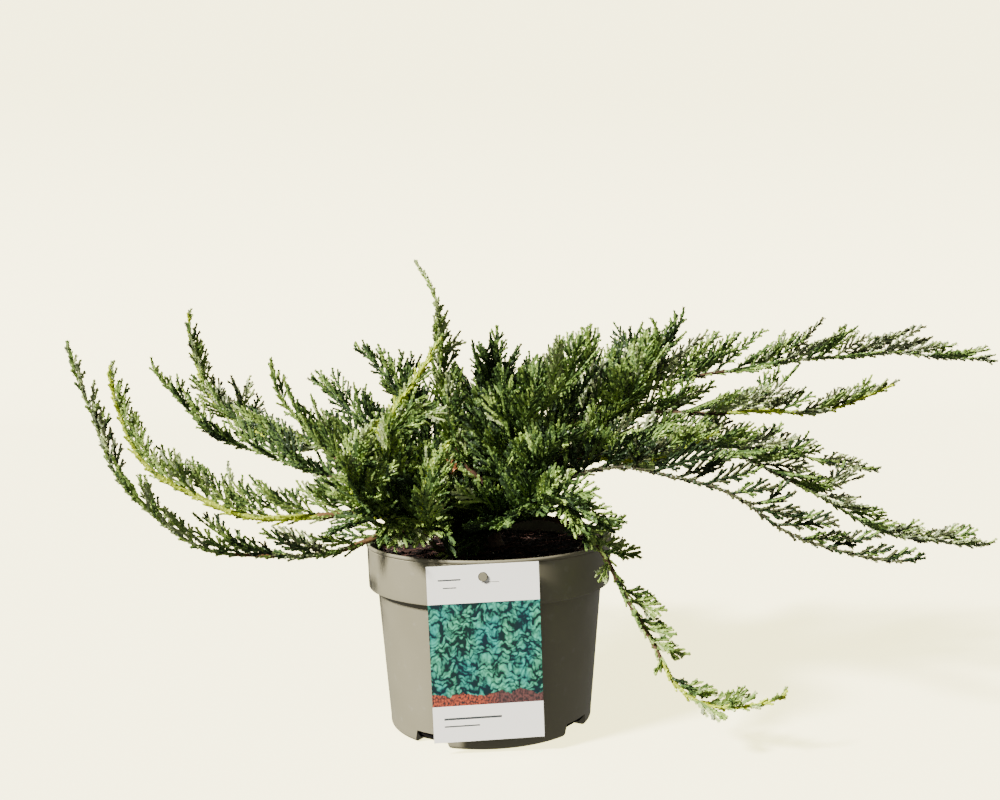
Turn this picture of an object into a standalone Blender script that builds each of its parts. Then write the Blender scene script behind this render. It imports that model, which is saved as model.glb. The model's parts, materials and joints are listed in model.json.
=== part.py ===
"""Potted creeping juniper: a low evergreen shrub in a round nursery pot, with a picture label on its rim.

A short trunk stands in the soil. Bare boughs leave it, and others branch from those. Each bough ends where
its mass of foliage begins: one tapering stem, side twigs and toothed sprays that branch by a seeded rule.
Sizes are in millimetres up to the mesh builders, which turn them into metres. +Z is up, the camera of the
photograph looks along +Y, and the origin is the centre of the flat underside of the pot.
"""

import math
import random
from collections import namedtuple

import bmesh
import bpy
import numpy as np
from mathutils import Matrix, Vector
from mathutils.bvhtree import BVHTree

MM = 0.001
SEAT_GAP = 0.3

# Pot
RIM_RADIUS = 85.0
POT_HEIGHT = 127.0
LIP_HEIGHT = 2.6
LIP_STEP = 0.8
BAND_FOOT_RADIUS = 83.2
BAND_FOOT_HEIGHT = 96.5
WALL_TOP_RADIUS = 77.4
WALL_FOOT_RADIUS = 69.2
BASE_RADIUS = 67.0
BASE_CORNER_HEIGHT = 2.6
WALL_THICKNESS = 1.4
POT_STEPS = 40
DRUM_SIDES = 24

# Drainage notches in the foot of the pot
NOTCH_BEARINGS = (235, 325, 55, 145)
NOTCH_WIDTH = 27.0
NOTCH_HEIGHT = 8.5
NOTCH_DEPTH = 13.0

# Soil
SOIL_HEIGHT = 117.0
SOIL_CROWN_HEIGHT = 119.0
SOIL_CROWN_RADIUS = 16.0
SOIL_STEPS = 32

# Label and the moulded button that it hangs on
LABEL_WIDTH = 70.0
LABEL_LENGTH = 115.5
LABEL_THICKNESS = 0.5
LABEL_TOP = (-4.9, -86.4, 125.2)
LABEL_LEAN = 4.6
LABEL_ROLL = 1.6
LABEL_HOLE_RADIUS = 3.1
LABEL_HOLE_DROP = 8.0
LABEL_SLIT = (11.0, 0.5)
LABEL_SLIT_DROP = 11.6
BUTTON_RADIUS = 2.6
BUTTON_REACH = 1.3

# Trunk
TRUNK_FOOT = (0.0, 6.0, SOIL_CROWN_HEIGHT + SEAT_GAP)
TRUNK_TOP = (2.0, 8.0, 154.0)
TRUNK_SIDES = 12
TRUNK_RADII = ((0.0, 10.5), (0.14, 7.6), (0.3, 6.4), (0.65, 5.8), (1.0, 4.6))
FORK_ROOT_DROP = 5.0
FORK_ROOT_FLARE = 0.9
TRUNK_ALLOWANCE = 0.15
Fork = namedtuple("Fork", "bearing pitch length radius")
FORKS = {
    "fork_left": Fork(150, 58, 17, 3.2),
    "fork_right": Fork(15, 48, 18, 3.6),
    "fork_back": Fork(85, 52, 17, 3.2),
    "fork_front": Fork(-50, 60, 15, 2.8),
}

# Shoots
# A shoot starts at a place on its parent, in mm up the trunk or along a bough. Its bearing turns evenly from
# the first to the last value, in degrees from +X towards +Y. Its pitch above level passes through the values
# given, evenly spaced along it. The bare length is its bough, and the rest is its mass. Sprays gives their
# length where the mass begins and near its tip, and twigs is how many side twigs the mass has.
Shoot = namedtuple("Shoot", "name parent place bearing pitch length bare radius sprays twigs")
SHOOTS = (
    Shoot("left_low", "trunk", 11, (200, 186), (10, -15, 15, 65, 80), 345, 72, 2.7, (42, 22), 3),
    Shoot("left_middle", "trunk", 22, (177, 180), (10, -10, 30, 95), 315, 66, 2.6, (42, 22), 4),
    Shoot("left_high", "trunk", 14, (157, 172), (20, 10, 20, 65), 285, 100, 2.6, (42, 22), 3),
    Shoot("left_top", "left_high", 62, (140, 172), (40, -5, 40, 100), 255, 26, 1.9, (42, 22), 3),
    Shoot("left_upright", "left_high", 86, (206, 155), (34, 45, 50, 95), 114, 16, 1.6, (42, 22), 0),
    Shoot("left_back", "trunk", 21, (134, 150), (10, 30, 35, 25), 200, 50, 2.4, (58, 36), 4),
    Shoot("centre_left", "left_back", 46, (110, 150), (65, 35, 50, 20), 145, 16, 1.7, (58, 36), 3),
    Shoot("centre_tall", "fork_left", 0, (150, 150), (40, 80, 90, 50), 170, 30, 2.2, (42, 22), 2),
    Shoot("front_left", "trunk", 20, (222, 200), (-10, 35, 120, 130), 200, 44, 2.4, (58, 36), 6),
    Shoot("front_left_low", "front_left", 40, (235, 190), (20, 5, 95, 140), 120, 14, 1.7, (58, 36), 4),
    Shoot("front_left_near", "trunk", 9, (250, 205), (5, -10, 100, 130), 145, 20, 2.0, (58, 36), 4),
    Shoot("right_top", "fork_right", 0, (15, 5), (50, 10, 5, -10), 415, 90, 2.8, (42, 22), 4),
    Shoot("right_second", "right_top", 66, (-20, 5), (10, 0, 0, 30), 225, 20, 1.9, (42, 22), 2),
    Shoot("right_long", "trunk", 18, (-8, -2), (50, -5, -35, 5), 375, 78, 2.9, (42, 22), 4),
    Shoot("right_third", "right_long", 72, (25, 5), (-15, 10, -15, -10), 240, 20, 1.9, (42, 22), 3),
    Shoot("right_low", "trunk", 12, (-30, -12), (45, 0, -35, 10), 310, 44, 2.6, (42, 22), 4),
    Shoot("right_hanging", "trunk", 8, (-47, -18), (30, 5, -45, -60, -60, -5, 35), 270, 86, 2.1, (28, 20), 0),
    Shoot("right_middle", "right_long", 50, (-35, -5), (15, -10, 30, 15), 110, 14, 1.7, (58, 36), 2),
    Shoot("crest_near", "fork_front", 0, (-50, 50), (70, 50, 45, 80), 130, 14, 2.0, (58, 36), 3),
    Shoot("crest_middle", "right_top", 24, (70, 20), (20, 15, 50, 55), 150, 14, 1.8, (58, 36), 3),
    Shoot("crest_right", "right_top", 50, (-30, 40), (-15, 50, 55, 105), 120, 14, 1.8, (58, 36), 3),
    Shoot("crest_far", "right_top", 76, (42, 20), (20, 35, 35, 75), 114, 14, 1.7, (58, 36), 3),
    Shoot("crest_back", "fork_back", 0, (85, 90), (5, 45, 90, 50), 135, 18, 2.2, (58, 36), 4),
    Shoot("front_right", "trunk", 15, (-84, -35), (0, 25, 20, -85), 140, 18, 2.2, (58, 36), 6),
    Shoot("front_right_up", "trunk", 22, (-66, 0), (5, 55, 45, 30), 105, 16, 2.0, (58, 36), 6),
    Shoot("back_left", "trunk", 8, (116, 118), (25, 15, -10, 20), 240, 40, 2.6, (58, 36), 3),
    Shoot("back_middle", "trunk", 14, (92, 84), (20, 15, -25, -10), 230, 40, 2.6, (58, 36), 3),
    Shoot("back_right", "trunk", 14, (55, 45), (25, 15, -20, 15), 250, 40, 2.6, (58, 36), 3),
)

# The rule that shoots and masses grow by
SEED = 41
MASS_SEED = 287
SHOOT_STEP = 5.0
LIMB_STEP = 17.0
LIMB_SIDES = 6
LIMB_MEAN_WIDTH = 0.94
STEM_STEP = 24.0
TIP_RADIUS = 0.8
SWAY_DEGREES = 5.0
SWAY_LENGTH = 62.0
OWN_SPACE_SHARE = 0.75
SPRAY_GAP = 17.5
FIRST_SPRAY_SHARE = 0.4
BARE_TIP_SHARE = 0.07
FORWARD_DEGREES = 46.0
FORWARD_SPREAD = 8.0
SIDE_ROLLS = (50.0, -50.0, 5.0, 75.0, -75.0, -10.0, 110.0, -110.0)
ROLL_SPREAD = 14.0
TWIG_ZONE_SHARE = 0.68
TWIG_ROLLS = (25.0, 80.0)
TWIG_FORWARD = (36.0, 50.0)
TWIG_LENGTH = (34.0, 52.0)
TWIG_REACH_SHARE = 0.5
TWIG_RISE = 12.0
TWIG_DRAW = 0.3
TWIG_RADII = (1.1, 0.95, 0.7)
TWIG_SPRAY_GAP = 15.0
TWIG_SPRAY_ZONE = (0.4, 0.95)
TWIG_SPRAY_ROLL = 75.0
TWIG_SPRAYS = (0.65, 0.95)

# A toothed spray
SPRAY_SIZES = (0.85, 1.1)
SPRAY_TWO_TEETH_LENGTH = 36.0
SPRAY_WIDTH_SHARE = 0.2
SPRAY_NOTCH_SHARE = 0.5
SPRAY_TOOTH_PLACE = 0.94
SPRAY_NARROWING = 0.25
SPRAY_ROOT_WIDTH = 0.4
SPRAY_RIDGE = 1.3
SPRAY_CURL_DEGREES = 30.0
SPRAY_TURN_DEGREES = 50.0
SPRAY_CLEARANCE = 0.5
SPRAY_FOOT = 2.5

COLOURS = {
    "pot": ((0.33, 0.31, 0.26), 0.6),
    "soil": ((0.035, 0.02, 0.014), 1.0),
    "label": ((0.85, 0.85, 0.83), 0.45),
    "trunk": ((0.1, 0.06, 0.04), 0.9),
    "bough": ((0.17, 0.09, 0.05), 0.9),
    "mass": ((0.07, 0.13, 0.06), 0.7),
    "pale mass": ((0.13, 0.2, 0.1), 0.7),
}
PALE_SHOOTS = ("centre_tall", "left_low", "left_middle", "right_second", "right_third", "right_middle")


def clear_scene():
    for item in list(bpy.data.objects):
        bpy.data.objects.remove(item, do_unlink=True)


def new_collection(name):
    group = bpy.data.collections.new(name)
    bpy.context.scene.collection.children.link(group)
    return group


def give_material(item, kind):
    colour, roughness = COLOURS[kind]
    material = bpy.data.materials.new(item.name + " finish")
    material.use_nodes = True
    shader = material.node_tree.nodes["Principled BSDF"]
    shader.inputs["Base Color"].default_value = (*colour, 1.0)
    shader.inputs["Roughness"].default_value = roughness
    shader.inputs["Metallic"].default_value = 0.0
    item.data.materials.clear()
    item.data.materials.append(material)


def mesh_object(name, group, points, faces):
    """An object from points in millimetres."""
    mesh = bpy.data.meshes.new(name)
    mesh.from_pydata((np.asarray(points) * MM).tolist(), [], faces)
    item = bpy.data.objects.new(name, mesh)
    group.objects.link(item)
    return item


def apply_modifiers(item):
    """Replace the object's mesh with what its modifiers make of it."""
    depsgraph = bpy.context.evaluated_depsgraph_get()
    finished = bpy.data.meshes.new_from_object(item.evaluated_get(depsgraph))
    old = item.data
    item.modifiers.clear()
    item.data = finished
    bpy.data.meshes.remove(old)


def boolean(item, operation, other, solver="EXACT"):
    """Join or cut the object with another object or with every object of a collection, and apply it."""
    step = item.modifiers.new(operation.lower(), "BOOLEAN")
    step.operation = operation
    step.solver = solver
    if isinstance(other, bpy.types.Collection):
        step.operand_type = "COLLECTION"
        step.collection = other
    else:
        other.display_type = "WIRE"
        step.object = other
    apply_modifiers(item)


def drop_scraps(item):
    """Keep only the largest of the separate pieces that a union may leave."""
    work = bmesh.new()
    work.from_mesh(item.data)
    waiting = set(work.verts)
    pieces = []
    while waiting:
        piece = {waiting.pop()}
        edge_of_piece = set(piece)
        while edge_of_piece:
            corner = edge_of_piece.pop()
            fresh = {edge.other_vert(corner) for edge in corner.link_edges} & waiting
            waiting -= fresh
            piece |= fresh
            edge_of_piece |= fresh
        pieces.append(piece)
    pieces.sort(key=len)
    for piece in pieces[:-1]:
        bmesh.ops.delete(work, geom=list(piece), context="VERTS")
    work.to_mesh(item.data)
    work.free()


def remove_all(group):
    for item in list(group.objects):
        bpy.data.objects.remove(item, do_unlink=True)


def turned(name, group, profile, steps):
    """A turned solid from a profile of (radius, height) that runs down the outside and ends on the axis."""
    points = [(radius, 0.0, height) for radius, height in profile]
    edges = [(i, i + 1) for i in range(len(points) - 1)]
    mesh = bpy.data.meshes.new(name)
    mesh.from_pydata((np.asarray(points) * MM).tolist(), edges, [])
    item = bpy.data.objects.new(name, mesh)
    group.objects.link(item)
    screw = item.modifiers.new("turn", "SCREW")
    screw.steps = steps
    screw.render_steps = steps
    screw.use_merge_vertices = True
    screw.merge_threshold = 0.00001
    screw.use_smooth_shade = False
    apply_modifiers(item)
    tidy_mesh(item)
    return item


def tidy_mesh(item):
    """Join points that coincide and turn the faces outward."""
    work = bmesh.new()
    work.from_mesh(item.data)
    bmesh.ops.remove_doubles(work, verts=work.verts, dist=0.00001)
    bmesh.ops.recalc_face_normals(work, faces=work.faces)
    work.to_mesh(item.data)
    work.free()


def primitive(name, group, place, matrix, make):
    """A bmesh primitive in millimetres, turned by the matrix and moved to its place."""
    work = bmesh.new()
    make(work)
    mesh = bpy.data.meshes.new(name)
    work.to_mesh(mesh)
    work.free()
    mesh.transform(Matrix.Translation(Vector(place)) @ matrix.to_4x4())
    mesh.transform(Matrix.Scale(MM, 4))
    item = bpy.data.objects.new(name, mesh)
    group.objects.link(item)
    return item


def drum(radius, height):
    def make(work):
        bmesh.ops.create_cone(
            work, cap_ends=True, segments=DRUM_SIDES, radius1=radius, radius2=radius, depth=height
        )

    return make


def block(width, depth, height):
    def make(work):
        bmesh.ops.create_cube(work, size=1.0)
        bmesh.ops.scale(work, vec=(width, depth, height), verts=work.verts)

    return make


def wall_radius(height):
    """Outer radius of the tapering wall under the band."""
    share = height / BAND_FOOT_HEIGHT
    return WALL_FOOT_RADIUS + (WALL_TOP_RADIUS - WALL_FOOT_RADIUS) * share


def make_pot(group, cutters):
    """Turned shell with a lipped band, four drainage notches and the button for the label."""
    lip_foot = POT_HEIGHT - LIP_HEIGHT
    band_top = RIM_RADIUS - LIP_STEP
    inside = WALL_THICKNESS
    profile = (
        (0.0, WALL_THICKNESS + 0.2),
        (BASE_RADIUS - 3.0, WALL_THICKNESS + 0.2),
        (wall_radius(BASE_CORNER_HEIGHT) - inside, BASE_CORNER_HEIGHT + 2.0),
        (wall_radius(BAND_FOOT_HEIGHT) - inside, BAND_FOOT_HEIGHT + 2.0),
        (BAND_FOOT_RADIUS - inside, BAND_FOOT_HEIGHT + 3.4),
        (band_top - inside, lip_foot),
        (band_top - inside + 0.3, POT_HEIGHT - 0.4),
        (band_top - inside + 0.9, POT_HEIGHT),
        (RIM_RADIUS - 0.6, POT_HEIGHT),
        (RIM_RADIUS, POT_HEIGHT - 0.7),
        (RIM_RADIUS, lip_foot + 0.6),
        (band_top, lip_foot),
        (BAND_FOOT_RADIUS, BAND_FOOT_HEIGHT + 0.5),
        (BAND_FOOT_RADIUS - 0.6, BAND_FOOT_HEIGHT),
        (WALL_TOP_RADIUS, BAND_FOOT_HEIGHT + 0.6),
        (wall_radius(BASE_CORNER_HEIGHT), BASE_CORNER_HEIGHT),
        (BASE_RADIUS, 0.0),
        (0.0, 0.0),
    )
    pot = turned("pot", group, profile[::-1], POT_STEPS)
    for bearing in NOTCH_BEARINGS:
        turn = Matrix.Rotation(math.radians(bearing), 3, "Z")
        place = turn @ Vector((WALL_FOOT_RADIUS - NOTCH_DEPTH / 2 + 3.0, 0.0, NOTCH_HEIGHT / 2 - 1.0))
        cutter = primitive(
            "notch cutter", cutters, place, turn, block(NOTCH_DEPTH, NOTCH_WIDTH, NOTCH_HEIGHT + 2.0)
        )
        boolean(pot, "DIFFERENCE", cutter)
    hole = label_frame() @ Vector((0.0, 0.0, -LABEL_HOLE_DROP))
    band = RIM_RADIUS - LIP_STEP - 1.0
    root = -math.sqrt(band**2 - hole.x**2)
    reach = hole.y - BUTTON_REACH
    lie_along_y = Matrix.Rotation(math.radians(90), 3, "X")
    middle = (hole.x, (root + reach) / 2, hole.z)
    button = primitive("button", cutters, middle, lie_along_y, drum(BUTTON_RADIUS, root - reach))
    boolean(pot, "UNION", button)
    remove_all(cutters)
    give_material(pot, "pot")
    return pot


def make_soil(group):
    """Potting soil, 0.3 mm clear of the wall all round, with a flat crown for the trunk to stand on."""
    inside = WALL_THICKNESS + SEAT_GAP
    floor = WALL_THICKNESS + 0.2 + SEAT_GAP
    profile = (
        (0.0, SOIL_CROWN_HEIGHT),
        (SOIL_CROWN_RADIUS, SOIL_CROWN_HEIGHT),
        (SOIL_CROWN_RADIUS * 2.4, SOIL_HEIGHT + 0.6),
        (RIM_RADIUS - LIP_STEP - inside - 6.0, SOIL_HEIGHT),
        (BAND_FOOT_RADIUS - inside - 0.1, SOIL_HEIGHT - 1.5),
        (BAND_FOOT_RADIUS - inside - 0.2, BAND_FOOT_HEIGHT + 4.0),
        (wall_radius(BAND_FOOT_HEIGHT) - inside - 0.4, BAND_FOOT_HEIGHT + 2.0),
        (wall_radius(BASE_CORNER_HEIGHT) - inside - 0.2, BASE_CORNER_HEIGHT + 2.4),
        (BASE_RADIUS - 3.4, floor),
        (0.0, floor),
    )
    soil = turned("soil", group, profile, SOIL_STEPS)
    give_material(soil, "soil")
    return soil


def label_frame():
    """The label's own frame, in millimetres: its origin is the middle of its top edge."""
    roll = Matrix.Rotation(math.radians(-LABEL_ROLL), 4, "Y")
    lean = Matrix.Rotation(math.radians(LABEL_LEAN), 4, "X")
    return Matrix.Translation(Vector(LABEL_TOP)) @ roll @ lean


def make_label(group, cutters):
    """A stiff card hung on the pot's button by a round hole, with the slit that lets it snap on."""
    card = primitive(
        "label",
        group,
        (0.0, 0.0, -LABEL_LENGTH / 2),
        Matrix.Identity(3),
        block(LABEL_WIDTH, LABEL_THICKNESS, LABEL_LENGTH),
    )
    through = LABEL_THICKNESS * 8
    lie_along_y = Matrix.Rotation(math.radians(90), 3, "X")
    hole = primitive(
        "hole", cutters, (0.0, 0.0, -LABEL_HOLE_DROP), lie_along_y, drum(LABEL_HOLE_RADIUS, through)
    )
    slit_length, slit_width = LABEL_SLIT
    slit = primitive(
        "slit",
        cutters,
        (slit_length / 2 - 1.0, 0.0, -LABEL_SLIT_DROP),
        Matrix.Identity(3),
        block(slit_length, through, slit_width),
    )
    boolean(card, "DIFFERENCE", hole)
    boolean(card, "DIFFERENCE", slit)
    remove_all(cutters)
    frame = label_frame()
    card.data.transform(Matrix.Scale(1 / MM, 4))
    card.data.transform(frame)
    card.data.transform(Matrix.Scale(MM, 4))
    give_material(card, "label")
    return card


def heading(bearing, pitch):
    """Unit vector of a bearing and a pitch in degrees."""
    b = np.radians(bearing)
    p = np.radians(pitch)
    return np.array([np.cos(p) * np.cos(b), np.cos(p) * np.sin(b), np.sin(p)])


def limb(name, group, points, radii, sides):
    """A tapering round limb: a curve with a bevel, filled at both ends, turned into a mesh."""
    curve = bpy.data.curves.new(name, "CURVE")
    curve.dimensions = "3D"
    curve.bevel_depth = MM
    curve.bevel_resolution = (sides - 4) // 2
    curve.use_fill_caps = True
    spline = curve.splines.new("POLY")
    spline.points.add(len(points) - 1)
    for knot, point, radius in zip(spline.points, points, radii):
        knot.co = (*(np.asarray(point) * MM), 1.0)
        knot.radius = radius
    item = bpy.data.objects.new(name, curve)
    group.objects.link(item)
    depsgraph = bpy.context.evaluated_depsgraph_get()
    mesh = bpy.data.meshes.new_from_object(item.evaluated_get(depsgraph))
    bpy.data.objects.remove(item, do_unlink=True)
    solid = bpy.data.objects.new(name, mesh)
    group.objects.link(solid)
    tidy_mesh(solid)
    return solid


def trunk_place(height):
    """Point on the trunk's axis at a height above its foot, the trunk's radius there and its direction."""
    foot = np.array(TRUNK_FOOT)
    rise = np.array(TRUNK_TOP) - foot
    share = height / np.linalg.norm(rise)
    shares, radii = zip(*TRUNK_RADII)
    return foot + rise * share, np.interp(share, shares, radii), rise / np.linalg.norm(rise)


def fork_root():
    """The point inside the trunk's top that the four arms start from."""
    return np.array(TRUNK_TOP) - (0.0, 0.0, FORK_ROOT_DROP)


def make_trunk(group, cutters):
    """A flared stem, cut flat where it meets the soil, that forks into four short arms."""
    foot = np.array(TRUNK_FOOT)
    rise = np.array(TRUNK_TOP) - foot
    shares, radii = zip(*TRUNK_RADII)
    trunk = limb("trunk", group, [foot + rise * share for share in shares], radii, TRUNK_SIDES)
    level_foot(trunk)
    for name, fork in FORKS.items():
        root = fork_root()
        tip = root + heading(fork.bearing, fork.pitch) * fork.length
        limb(name, cutters, (root, tip), (fork.radius + FORK_ROOT_FLARE, fork.radius), LIMB_SIDES)
    boolean(trunk, "UNION", cutters)
    remove_all(cutters)
    give_material(trunk, "trunk")
    return trunk


def level_foot(trunk):
    """Bring the trunk's lowest ring to one height, because the leaning stem's end is not quite level."""
    foot = TRUNK_FOOT[2] * MM
    for corner in trunk.data.vertices:
        if corner.co.z < foot + 2.0 * MM:
            corner.co.z = foot


def trunk_clearance(shoot):
    """How far along its own direction a bough starts, for both edges of its flat end to clear the trunk."""
    pitch = math.radians(shoot.pitch[0])
    distance = TRUNK_RADII[1][1]
    for _ in range(4):
        needed = []
        for edge in (-shoot.radius, shoot.radius):
            height = shoot.place + distance * math.sin(pitch) + edge * math.cos(pitch)
            _, trunk_radius, _ = trunk_place(height)
            clear = trunk_radius + SEAT_GAP + TRUNK_ALLOWANCE
            needed.append((clear + edge * math.sin(pitch)) / math.cos(pitch))
        distance = max(needed)
    return distance


class Route:
    """The line of one shoot, from its root to its tip, and the frame that things on it are placed by."""

    def __init__(self, shoot, routes, seed):
        self.shoot = shoot
        steps = max(int(round(shoot.length / SHOOT_STEP)), 4)
        share = (np.arange(steps) + 0.5) / steps
        phase = random.Random(seed).uniform(0, 2 * np.pi)
        along = share * shoot.length
        sway = SWAY_DEGREES * np.minimum(along / SWAY_LENGTH, 1.0)
        bearing = np.interp(share, (0, 1), shoot.bearing)
        bearing = bearing + sway * np.sin(2 * np.pi * along / SWAY_LENGTH + phase)
        pitch = np.interp(share, np.linspace(0, 1, len(shoot.pitch)), shoot.pitch)
        pitch = pitch + sway * np.cos(2 * np.pi * along / SWAY_LENGTH * 0.8 + phase)
        moves = np.array([heading(b, p) for b, p in zip(bearing, pitch)]) * (shoot.length / steps)
        start = self.start(routes)
        self.points = np.vstack([start, start + np.cumsum(moves, axis=0)])
        self.ups = np.array([heading(b, p + 90) for b, p in zip(bearing, pitch)])

    def start(self, routes):
        """Where the root lies: its flat end clears the parent's side, or the fork's tip, by the seat gap."""
        shoot = self.shoot
        out = heading(shoot.bearing[0], shoot.pitch[0])
        if shoot.parent in FORKS:
            fork = FORKS[shoot.parent]
            way = heading(fork.bearing, fork.pitch)
            turn = np.linalg.norm(np.cross(way, out))
            return fork_root() + way * (fork.length + SEAT_GAP + shoot.radius * turn)
        if shoot.parent == "trunk":
            axis, _, _ = trunk_place(shoot.place)
            return axis + out * trunk_clearance(shoot)
        parent = routes[shoot.parent]
        axis, way, _ = parent.at(shoot.place)
        radius = parent.radius(shoot.place) * LIMB_MEAN_WIDTH
        sine = np.linalg.norm(np.cross(way, out))
        return axis + out * (radius + SEAT_GAP + shoot.radius * abs(way @ out)) / sine

    def radius(self, along):
        return self.shoot.radius + (TIP_RADIUS - self.shoot.radius) * along / self.shoot.length

    def at(self, along):
        """Point, direction and upward normal at a distance from the root."""
        place = along / self.shoot.length * (len(self.points) - 1)
        first = int(min(max(place, 0), len(self.points) - 2))
        step = self.points[first + 1] - self.points[first]
        point = self.points[first] + step * (place - first)
        way = step / np.linalg.norm(step)
        up = self.ups[first] - way * (self.ups[first] @ way)
        return point, way, up / np.linalg.norm(up)

    def stretch(self, start, end, step):
        """Points and radii at even steps from one distance to another."""
        count = max(int(round((end - start) / step)), 1)
        places = np.linspace(start, end, count + 1)
        return [self.at(place)[0] for place in places], [self.radius(place) for place in places]


def mass_stem(shoot, route):
    """Points and radii of a mass's stem, which starts a seat gap past the flat tip of its bough."""
    bough, _ = route.stretch(0, shoot.bare, LIMB_STEP)
    points, radii = route.stretch(shoot.bare, shoot.length, STEM_STEP)
    lead = bough[-1] - bough[-2]
    lead /= np.linalg.norm(lead)
    points[0] = points[0] + lead * SEAT_GAP
    return points, radii, lead


def prism(points, radii, up, lead=None):
    """A three-sided tapering twig. Each ring of three lies square to the twig, with one corner upward."""
    points = np.asarray(points)
    ways = np.gradient(points, axis=0)
    if lead is not None:
        ways[0] = lead
    ways /= np.linalg.norm(ways, axis=1)[:, None]
    rings = []
    for point, way, radius in zip(points, ways, radii):
        top = up - way * (up @ way)
        top /= np.linalg.norm(top)
        side = np.cross(way, top)
        for turn in (0, 120, 240):
            angle = math.radians(turn)
            rings.append(point + radius * (top * math.cos(angle) + side * math.sin(angle)))
        up = top
    last = 3 * (len(points) - 1)
    faces = [(2, 1, 0), (last, last + 1, last + 2)]
    for ring in range(0, last, 3):
        for corner in range(3):
            other = (corner + 1) % 3
            faces.append((ring + corner, ring + other, ring + 3 + other, ring + 3 + corner))
    return np.array(rings), faces


def toothed_spray(root, way, normal, length, swell=0.0):
    """A spray of needles as a toothed blade.

    Each ring has a ridge point and two edge points. The edges run out to a tooth and back to the waist, and
    the blade bends in its own plane by the curl. Swell thickens it all round, to test its clearance.
    """
    inner = np.cross(normal, way)
    teeth = 2 if length > SPRAY_TWO_TEETH_LENGTH else 1
    pitch = 1.0 / (teeth + 0.5)
    rings = [(0.0, SPRAY_ROOT_WIDTH, SPRAY_ROOT_WIDTH)]
    for tooth in range(teeth):
        width = length * SPRAY_WIDTH_SHARE * (1.0 - SPRAY_NARROWING * tooth)
        ridge = SPRAY_RIDGE * (1.0 - SPRAY_NARROWING * tooth)
        rings.append((pitch * (tooth + SPRAY_TOOTH_PLACE), width, ridge))
        rings.append((pitch * (tooth + 1.0), width * SPRAY_NOTCH_SHARE, ridge))
    points = []
    place = np.array(root)
    before = 0.0
    for share, half_width, ridge in rings:
        bend = math.radians(SPRAY_CURL_DEGREES) * share
        ahead = way * math.cos(bend) + inner * math.sin(bend)
        side = inner * math.cos(bend) - way * math.sin(bend)
        place = place + ahead * (share - before) * length
        before = share
        points.append(place + normal * (ridge + swell))
        points.append(place + side * (half_width + swell) - normal * swell)
        points.append(place - side * (half_width + swell) - normal * swell)
    points.append(place + ahead * (length * (1.0 - before) + swell))
    faces = [(0, 1, 2)]
    for ring in range(0, len(points) - 4, 3):
        for corner in range(3):
            other = (corner + 1) % 3
            faces.append((ring + other, ring + corner, ring + 3 + corner, ring + 3 + other))
    tip = len(points) - 1
    for corner in range(3):
        faces.append((tip - 3 + (corner + 1) % 3, tip - 3 + corner, tip))
    return np.array(points), faces


class Claims:
    """What already stands in the crown, to keep each new twig and spray in its own mass's space."""

    def __init__(self):
        self.solids = []
        self.stems = {}

    def add(self, owner, points, faces):
        tree = BVHTree.FromPolygons([Vector(p) for p in points], faces)
        self.solids.append((owner, points.min(axis=0), points.max(axis=0), tree))

    def add_object(self, owner, item):
        points = np.array([corner.co[:] for corner in item.data.vertices]) / MM
        self.add(owner, points, [tuple(face.vertices) for face in item.data.polygons])

    def is_free(self, owner, points, faces):
        low = points.min(axis=0)
        high = points.max(axis=0)
        shape = None
        for other, other_low, other_high, tree in self.solids:
            if other == owner or (low > other_high).any() or (high < other_low).any():
                continue
            if shape is None:
                shape = BVHTree.FromPolygons([Vector(p) for p in points], faces)
            if shape.overlap(tree):
                return False
        return True

    def is_own_space(self, owner, points):
        """True where no point is much nearer to another mass's stem than to its own."""
        own = nearest(points, self.stems[owner])
        for other, stem in self.stems.items():
            if other != owner and (nearest(points, stem) < own * OWN_SPACE_SHARE).any():
                return False
        return True


def nearest(points, line):
    return np.linalg.norm(points[:, None, :] - line[None, :, :], axis=2).min(axis=1)


def turned_about(axis, vector, degrees):
    """The part of the vector square to the axis, as a unit vector turned about the axis."""
    square = vector - axis * (vector @ axis)
    square /= np.linalg.norm(square)
    angle = math.radians(degrees)
    return square * math.cos(angle) + np.cross(axis, square) * math.sin(angle)


def side_way(way, up, roll, forward):
    """Direction that leaves a stem at the forward angle, rolled about it from its upper side."""
    angle = math.radians(roll)
    out = up * math.cos(angle) + np.cross(way, up) * math.sin(angle)
    lean = math.radians(forward)
    return way * math.cos(lean) + out * math.sin(lean)


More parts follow.
